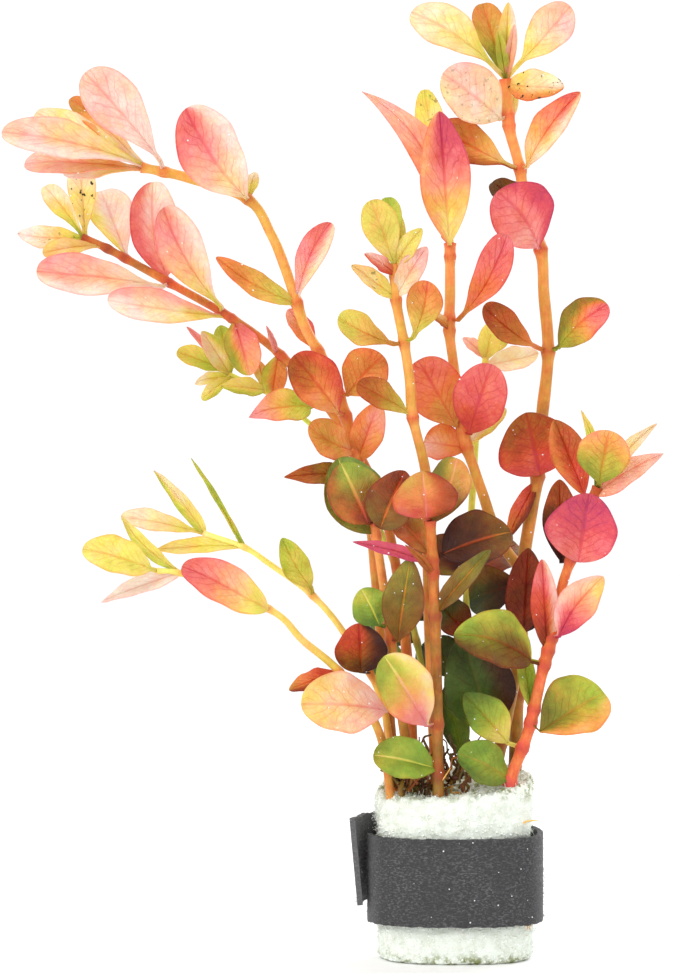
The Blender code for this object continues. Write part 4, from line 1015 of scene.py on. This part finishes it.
# %% [markdown]
# ## The wool plug
#
# Filter wool is a loose mat of fine polyester fibres. From a little way off it is a soft, pale,
# lumpy body with a fringe of fibres. It is an oval barrel here, built ring by ring from a profile,
# pushed in and out by noise, and drawn in where the strip squeezes it. It is darker and greener in
# patches, most of all at its upper rim and at its foot.

# %% The plug's form
PLUG_HALF_WIDTH, PLUG_HALF_DEPTH, PLUG_HEIGHT = 12.9, 9.4, 28.4
TOP_SLOPE_BACK, TOP_SLOPE_RIGHT = 0.2, 0.08
OVAL_POWER = 2.4
PLUG_STEPS_ROUND = 150
# Each step of the profile: share of the height and of the half width, from the foot's middle to the top's.
PLUG_PROFILE = (
    (0.0, 0.02), (0.0, 0.35), (0.0, 0.7), (0.0, 0.88), (0.012, 0.94), (0.045, 0.97), (0.1, 0.98), (0.2, 0.975),
    (0.24, 0.95), (0.34, 0.945), (0.5, 0.945), (0.64, 0.945), (0.7, 0.96), (0.75, 0.985), (0.8, 0.99), (0.85, 0.995),
    (0.9, 1.0), (0.94, 1.0), (0.975, 0.985), (0.995, 0.95), (1.0, 0.88), (0.99, 0.72), (0.98, 0.5), (0.98, 0.25),
    (0.98, 0.02),
)
LUMP = 0.42
RAGGED = 0.7


def oval(angle, half_width, half_depth):
    """A point on the plug's rounded oval outline, counted from the right, in degrees."""
    c, s = math.cos(math.radians(angle)), math.sin(math.radians(angle))
    x = math.copysign(abs(c) ** (2 / OVAL_POWER), c) * half_width
    y = math.copysign(abs(s) ** (2 / OVAL_POWER), s) * half_depth
    return x, y


def finer(profile, times):
    """A profile with more steps between its own."""
    steps = []
    for first, second in zip(profile, profile[1:]):
        steps += [blend(first, second, number / times) for number in range(times)]
    return [*steps, profile[-1]]


def plug_point(height, share, angle):
    x, y = oval(angle, PLUG_HALF_WIDTH * share, PLUG_HALF_DEPTH * share)
    z = height * (PLUG_HEIGHT + TOP_SLOPE_BACK * y + TOP_SLOPE_RIGHT * x)
    place = Vector((x, y, z))
    out = Vector((x, y, 0)).normalized()
    squeezed = soft((z - 5) / 2) * soft((21.5 - z) / 2)
    lump = noise.noise(place * 0.28) + 0.6 * noise.noise(place * 0.75) + 0.35 * noise.noise(place * 1.7)
    push = LUMP * lump * (1 - squeezed) * min(1.0, share * 1.5)
    ragged = RAGGED * noise.noise(place * 1.9)
    up = Vector((0, 0, 1)) * (push + ragged) * soft((height - 0.9) * 8)
    return (place + out * (push - 0.25) + up) * MM


profile = finer(PLUG_PROFILE, 3)
wool = bmesh.new()
rings = [
    [wool.verts.new(plug_point(height, share, 360 * step / PLUG_STEPS_ROUND)) for step in range(PLUG_STEPS_ROUND)]
    for height, share in profile
]
for lower, upper in zip(rings, rings[1:]):
    for step in range(PLUG_STEPS_ROUND):
        after = (step + 1) % PLUG_STEPS_ROUND
        wool.faces.new((lower[step], lower[after], upper[after], upper[step]))
wool.faces.new(reversed(rings[0]))
wool.faces.new(rings[-1])
for face in wool.faces:
    face.smooth = True
bmesh.ops.recalc_face_normals(wool, faces=wool.faces)
plug_mesh = bpy.data.meshes.new("plug_body")
wool.to_mesh(plug_mesh)
wool.free()
print("plug:", len(plug_mesh.polygons), "faces")

# %% [markdown]
# ## The wool's fibres
#
# Thousands of short bent fibres stand off the plug. Geometry Nodes scatter points over its skin, put
# one bent fibre on each, lean it over at random and make it longer or shorter. The seed is fixed, so
# that the wool is the same each time. The same tree, with darker and shorter fibres, makes the lint
# on the weight strip. A second, shorter tree scatters beads: coarse ones for the curled ends that give
# wool its grain, and smooth ones for drops of air further on.

# %% Fibres
scatter, given, result = new_tree(
    "fibres on a skin",
    {
        "Density": ("NodeSocketFloat", 2e6), "Length": ("NodeSocketFloat", 1.6 * MM),
        "Thickness": ("NodeSocketFloat", 0.03 * MM), "Lean": ("NodeSocketFloat", 1.3),
        "Lowest": ("NodeSocketFloat", 1.0 * MM), "Seed": ("NodeSocketInt", 4), "Material": ("NodeSocketMaterial", None),
    },
)
points = add_node(
    scatter, "GeometryNodeDistributePointsOnFaces",
    {"Mesh": given.outputs["Geometry"], "Density": given.outputs["Density"], "Seed": given.outputs["Seed"]},
)
place = add_node(scatter, "GeometryNodeInputPosition").outputs[0]
height = add_node(scatter, "ShaderNodeSeparateXYZ", {0: place}).outputs["Z"]
too_low = add_node(scatter, "FunctionNodeCompare", {"A": height, "B": given.outputs["Lowest"]}, operation="LESS_THAN")
kept = add_node(scatter, "GeometryNodeDeleteGeometry", {"Geometry": points.outputs["Points"], "Selection": too_low.outputs[0]})
upright = add_node(
    scatter, "FunctionNodeAlignRotationToVector",
    {"Vector": points.outputs["Normal"]}, axis="Z",
).outputs[0]
most = given.outputs["Lean"]
least = add_node(scatter, "ShaderNodeMath", {0: most, 1: -1.0}, operation="MULTIPLY").outputs[0]
low = add_node(scatter, "ShaderNodeCombineXYZ", {"X": least, "Y": least, "Z": -math.pi}).outputs[0]
high = add_node(scatter, "ShaderNodeCombineXYZ", {"X": most, "Y": most, "Z": math.pi}).outputs[0]
turn = add_node(
    scatter, "FunctionNodeRandomValue",
    {0: low, 1: high, "Seed": given.outputs["Seed"]}, data_type="FLOAT_VECTOR",
).outputs[0]
turned = add_node(scatter, "FunctionNodeRotateRotation", {"Rotation": upright, "Rotate By": turn}, rotation_space="LOCAL")
size = add_node(
    scatter, "FunctionNodeRandomValue", {2: 0.35, 3: 1.0, "Seed": given.outputs["Seed"]}, data_type="FLOAT"
).outputs[1]
bent = add_node(
    scatter, "GeometryNodeCurveQuadraticBezier",
    {"Resolution": 3, "Start": (0, 0, 0), "Middle": (0.35, 0.1, 0.6), "End": (0.1, 0.45, 1.0)},
).outputs[0]
long = add_node(scatter, "ShaderNodeCombineXYZ", {axis: given.outputs["Length"] for axis in "XYZ"}).outputs[0]
fibre_line = add_node(scatter, "GeometryNodeTransform", {"Geometry": bent, "Scale": long}).outputs[0]
fibre_ring = add_node(
    scatter, "GeometryNodeCurvePrimitiveCircle", {"Resolution": 3, "Radius": given.outputs["Thickness"]}
).outputs[0]
fibre = add_node(scatter, "GeometryNodeCurveToMesh", {"Curve": fibre_line, "Profile Curve": fibre_ring, "Fill Caps": True})
placed = add_node(
    scatter, "GeometryNodeInstanceOnPoints",
    {"Points": kept.outputs[0], "Instance": fibre.outputs[0], "Rotation": turned.outputs[0], "Scale": size},
)
finish_tree(scatter, placed.outputs[0], given, result)

sprinkle, given, result = new_tree(
    "beads on a skin",
    {
        "Density": ("NodeSocketFloat", 2e4), "Radius": ("NodeSocketFloat", 0.14 * MM),
        "Roundness": ("NodeSocketInt", 2), "Lowest": ("NodeSocketFloat", 0.0),
        "Seed": ("NodeSocketInt", 2), "Material": ("NodeSocketMaterial", None),
    },
)
points = add_node(
    sprinkle, "GeometryNodeDistributePointsOnFaces",
    {"Mesh": given.outputs["Geometry"], "Density": given.outputs["Density"], "Seed": given.outputs["Seed"]},
)
place = add_node(sprinkle, "GeometryNodeInputPosition").outputs[0]
height = add_node(sprinkle, "ShaderNodeSeparateXYZ", {0: place}).outputs["Z"]
too_low = add_node(sprinkle, "FunctionNodeCompare", {"A": height, "B": given.outputs["Lowest"]}, operation="LESS_THAN")
kept = add_node(sprinkle, "GeometryNodeDeleteGeometry", {"Geometry": points.outputs["Points"], "Selection": too_low.outputs[0]})
ball = add_node(
    sprinkle, "GeometryNodeMeshIcoSphere",
    {"Radius": given.outputs["Radius"], "Subdivisions": given.outputs["Roundness"]},
)
size = add_node(
    sprinkle, "FunctionNodeRandomValue", {2: 0.35, 3: 1.0, "Seed": given.outputs["Seed"]}, data_type="FLOAT"
).outputs[1]
placed = add_node(
    sprinkle, "GeometryNodeInstanceOnPoints",
    {"Points": kept.outputs[0], "Instance": ball.outputs["Mesh"], "Scale": size},
)
finish_tree(sprinkle, placed.outputs[0], given, result)


def soft_finish(name, base, second_colour, second_mask, roughness, bump_scale, bump_depth):
    """A matt material of two colours: its own, and a second one where the given mask is 1. The masks mark darker
    patches on the wool, and pale streaks and a painted sheen on the strip.
    """
    finish = bpy.data.materials.new(name)
    finish.use_nodes = True
    tree = finish.node_tree
    surface = tree.nodes["Principled BSDF"]
    mixed = add_node(
        tree, "ShaderNodeMix", {"Factor": second_mask(tree), "A": (*base, 1.0), "B": (*second_colour, 1.0)}, data_type="RGBA"
    ).outputs["Result"]
    tree.links.new(mixed, surface.inputs["Base Color"])
    surface.inputs["Roughness"].default_value = roughness
    surface.inputs["Specular IOR Level"].default_value = 0.2
    grain = blotches(tree, bump_scale, 4.0)
    bump = add_node(tree, "ShaderNodeBump", {"Height": grain, "Strength": 0.8, "Distance": bump_depth * MM})
    tree.links.new(bump.outputs["Normal"], surface.inputs["Normal"])
    return finish


def wool_darker_patches(tree):
    """Where the wool is darker and greener: at the upper rim, at the foot and in faint clouds between."""
    place = add_node(tree, "ShaderNodeTexCoord").outputs["Object"]
    height = add_node(tree, "ShaderNodeSeparateXYZ", {0: place}).outputs["Z"]
    rim = soft_step(tree, height, 24.6 * MM, 28.0 * MM)
    foot = soft_step(tree, height, 0.3 * MM, 2.6 * MM, 1.0, 0.0)
    clouds = soft_step(tree, blotches(tree, 650.0, 5.0, 0.0, 0.62), 0.44, 0.62)
    where = math_node(tree, "MAXIMUM", math_node(tree, "MAXIMUM", rim, foot), 0.16)
    return math_node(tree, "MULTIPLY", where, clouds, clamp=True)


# The wool and its fibres turn darker and greener in patches, most at the upper rim and at the foot.
wool_finish = soft_finish("wool", (0.80, 0.85, 0.78), (0.22, 0.25, 0.09), wool_darker_patches, 0.9, 1500.0, 0.3)
fibre_finish = soft_finish("wool fibres", (0.93, 0.96, 0.91), (0.40, 0.44, 0.20), wool_darker_patches, 0.6, 1500.0, 0.02)
plug_mesh.materials.append(wool_finish)
plug_body = new_object("plug_body", plug_mesh)
plug_fibres = grown(
    "plug_fibres", plug_mesh.copy(), scatter, density=1.5e6, length=1.3 * MM, thickness=0.04 * MM, lean=1.35,
    lowest=1.4 * MM, material=fibre_finish,
)
plug_grain = grown(
    "plug_grain", plug_mesh.copy(), sprinkle, density=1.7e6, radius=0.24 * MM, roundness=1,
    lowest=0.4 * MM, seed=6, material=fibre_finish,
)
plug = join(join(plug_body, plug_fibres), plug_grain)
plug.name = "wool_plug_fibrous"
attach(plug, "root")
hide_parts("wool_plug")
print("plug with fibres:", len(plug.data.polygons), "faces")

# %% [markdown]
# ## The weight strip
#
# The strip is dark and felt-like, about a millimetre thick. It starts at the left, runs round the
# back and the front, climbing a little, and comes back over its own start, where its end stands off.
# It is a long grid, bent round the plug with the same sums as its solid and given its thickness.

# %% The strip
STRIP_THICK, STRIP_HEIGHT, STRIP_FOOT, STRIP_CLIMB = 1.0, 13.9, 6.2, 2.8
CLEARANCE = 0.3
STRIP_OVERLAP_OFF, TAB_REACH, TAB_SPLAY = 1.6, 4.5, 1.3
STRIP_LOOP_STEPS, STRIP_ROWS = 200, 18
TAB_SHARE = 0.05
FACING_LEFT = 180.0


def strip_point(share, height):
    """A point on the middle of the strip, by its share of the way round and of its height."""
    off = CLEARANCE + STRIP_THICK / 2
    over = max(0.0, (share - 0.72) / 0.28)
    off += STRIP_OVERLAP_OFF * min(1.0, over) ** 1.5
    x, y = oval(FACING_LEFT + 360 * min(share, 1.0), PLUG_HALF_WIDTH + off, PLUG_HALF_DEPTH + off)
    if share > 1.0:
        reach = (share - 1.0) / TAB_SHARE
        x -= TAB_SPLAY * height * reach
        y -= TAB_REACH * reach
    climb = max(0.0, min(1.0, (share - 0.4) / 0.55))
    z = STRIP_FOOT + STRIP_HEIGHT * height + STRIP_CLIMB * climb**2 * (3 - 2 * climb)
    edge = abs(height * 2 - 1) ** 8
    z += 0.25 * edge * noise.noise(Vector((share * 60, height * 3, 0)))
    return Vector((x, y, z)) * MM


band = bmesh.new()
whole = 1.0 + TAB_SHARE
steps = round(STRIP_LOOP_STEPS * whole)
bmesh.ops.create_grid(band, x_segments=steps, y_segments=STRIP_ROWS, size=1.0)
for corner in band.verts:
    corner.co = strip_point((corner.co.x + 1) / 2 * whole, (corner.co.y + 1) / 2)
for face in band.faces:
    face.smooth = True
bmesh.ops.recalc_face_normals(band, faces=band.faces)
strip_mesh = bpy.data.meshes.new("weight_strip_felt")
band.to_mesh(strip_mesh)
band.free()
strip = new_object("weight_strip_felt", strip_mesh)
skin = strip.modifiers.new("thickness", "SOLIDIFY")
skin.thickness = (STRIP_THICK - 0.1) * MM
skin.offset = 0.0
skin.use_even_offset = True
strip = plain_mesh(strip)
strip.data.set_sharp_from_angle(angle=math.radians(60))
print("strip:", len(strip.data.polygons), "faces")

# %% [markdown]
# ## The strip's finish
#
# Its surface is charcoal with short pale streaks that lie along it, like a worn felt, and a painted
# sheen makes it lightest at its left and right sides, where it turns away from the eye. Lint of the
# same kind as the wool's fibres breaks up its outline.

# %% The strip's finish
# Where the painted sheen at the strip's left and right sides begins, in millimetres from its middle.
SIDE_SHEEN_FROM = 11.5


def streaks_and_side_sheen(tree):
    """Fine pale streaks along the strip, and a painted sheen that lightens it where it turns round the plug's two
    sides.
    """
    place = add_node(tree, "ShaderNodeTexCoord").outputs["Object"]
    along = add_node(tree, "ShaderNodeMapping", {"Vector": place, "Scale": (0.5, 0.5, 1.1)}).outputs[0]
    streaks = add_node(
        tree, "ShaderNodeTexNoise", {"Vector": along, "Scale": 4200.0, "Detail": 3.0, "Distortion": 0.3}
    ).outputs["Fac"]
    clouds = soft_step(tree, blotches(tree, 180.0, 3.0, 2.3), 0.25, 0.75, 0.3, 0.75)
    amount = math_node(tree, "MULTIPLY", soft_step(tree, streaks, 0.45, 0.7), clouds)
    off_middle = math_node(tree, "ABSOLUTE", add_node(tree, "ShaderNodeSeparateXYZ", {0: place}).outputs["X"])
    # Painted sheen: lighter towards the strip's left and right sides, where it turns away from the eye.
    side = soft_step(tree, off_middle, SIDE_SHEEN_FROM * MM, (PLUG_HALF_WIDTH + 1.5) * MM, 0.0, 0.45)
    return math_node(tree, "ADD", amount, side, clamp=True)


# The strip and its lint: charcoal, with pale streaks of wear and a painted sheen at the sides.
strip_finish = soft_finish("weight strip", (0.046, 0.046, 0.048), (0.16, 0.16, 0.165), streaks_and_side_sheen, 0.8, 4000.0, 0.1)
lint_finish = soft_finish("lint", (0.07, 0.07, 0.075), (0.4, 0.4, 0.42), streaks_and_side_sheen, 0.8, 1800.0, 0.02)
strip.data.materials.append(strip_finish)
strip_skin = strip.data.copy()
lint = grown(
    "lint", strip.data.copy(), scatter, density=2.2e6, length=0.5 * MM, thickness=0.028 * MM, lean=1.4,
    lowest=0.0, seed=9, material=lint_finish,
)
strip = join(strip, lint)
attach(strip, "root")
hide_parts("weight_strip")
print("strip with lint:", len(strip.data.polygons), "faces")

# %% [markdown]
# ## Old roots
#
# In the wool's mouth, between the stems, lie brown roots and rotten leaf stalks, and a few yellow root
# ends stick out from under the strip. Each is a short path that wanders at random, swept by the same
# tree as the stems.

# %% Old roots
MOUTH = (-9.5, 2.5)
ROOT_COUNT = 75
ROOT_STEPS = 6
chance = random.Random(8)


def root_path(start, reach, wander):
    """A wandering path from a start, by a reach, in millimetres."""
    points = []
    for step in range(ROOT_STEPS + 1):
        shift = Vector(chance.uniform(-wander, wander) for _ in range(3)) * (step > 0)
        points.append(Vector(start) + Vector(reach) * (step / ROOT_STEPS) + shift)
    return smooth_path([seen(*point) for point in points], 0.5 * MM)


roots = []
for _ in range(ROOT_COUNT):
    start = (chance.uniform(*MOUTH), chance.uniform(-6.3, -3.6), chance.uniform(25.5, 30))
    reach = (chance.uniform(-4, 4), chance.uniform(-0.5, 1.5), chance.uniform(1, 7.5))
    roots.append((root_path(start, reach, 0.55), chance.uniform(0.16, 0.42), chance.uniform(0.55, 0.9), chance.uniform(0.5, 0.75)))
for start, reach in (
    ((10.6, -6.5, 6.6), (1.3, -0.6, -1.8)), ((11.6, -5.5, 6.8), (0.6, -0.8, -2.2)), ((11, -6.0, 21.6), (2.4, -0.8, 0.7)),
    ((-3.2, -6.8, 26.6), (2.4, -0.6, 3.8)),
):
    roots.append((root_path(start, reach, 0.25), 0.16, 0.33, 0.3))
root_mesh = bpy.data.meshes.new("old_roots")
places, edges, numbers = [], [], []
for points, radius, green, red in roots:
    first = len(places)
    places += points
    edges += [(first + index, first + index + 1) for index in range(len(points) - 1)]
    for index in range(len(points)):
        thinning = 1 - 0.6 * index / len(points)
        numbers.append({"radius": radius * thinning * MM, "green": green, "red": red, "knot": 0.0})
root_mesh.from_pydata(places, edges, [])
for key in numbers[0]:
    root_mesh.attributes.new(key, "FLOAT", "POINT")
    for index, values in enumerate(numbers):
        root_mesh.attributes[key].data[index].value = values[key]
old_roots = grown("old_roots", root_mesh, sweep, sides=6, material=stem_finish)
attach(old_roots, "root")
print("roots:", len(roots))

# %% [markdown]
# ## Air bubbles
#
# The bunch has just come out of the water, so tiny bubbles sit on its leaves, stems and strip and
# catch the light. The tree for beads scatters them over a copy of those pieces.

# %% Air bubbles
bubble_finish = bpy.data.materials.new("bubble")
bubble_finish.use_nodes = True
bubble_surface = bubble_finish.node_tree.nodes["Principled BSDF"]
bubble_surface.inputs["Base Color"].default_value = (0.95, 0.96, 0.97, 1.0)
bubble_surface.inputs["Roughness"].default_value = 0.08

wet = bmesh.new()
for skin in [piece.data for piece in dressed] + [strip_skin]:
    wet.from_mesh(skin)
wet_mesh = bpy.data.meshes.new("wet_skin")
wet.to_mesh(wet_mesh)
wet.free()
bubbles = grown("air_bubbles", wet_mesh, sprinkle, material=bubble_finish)
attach(bubbles, "root")
print("bubbles:", len(bubbles.data.polygons) // 80)
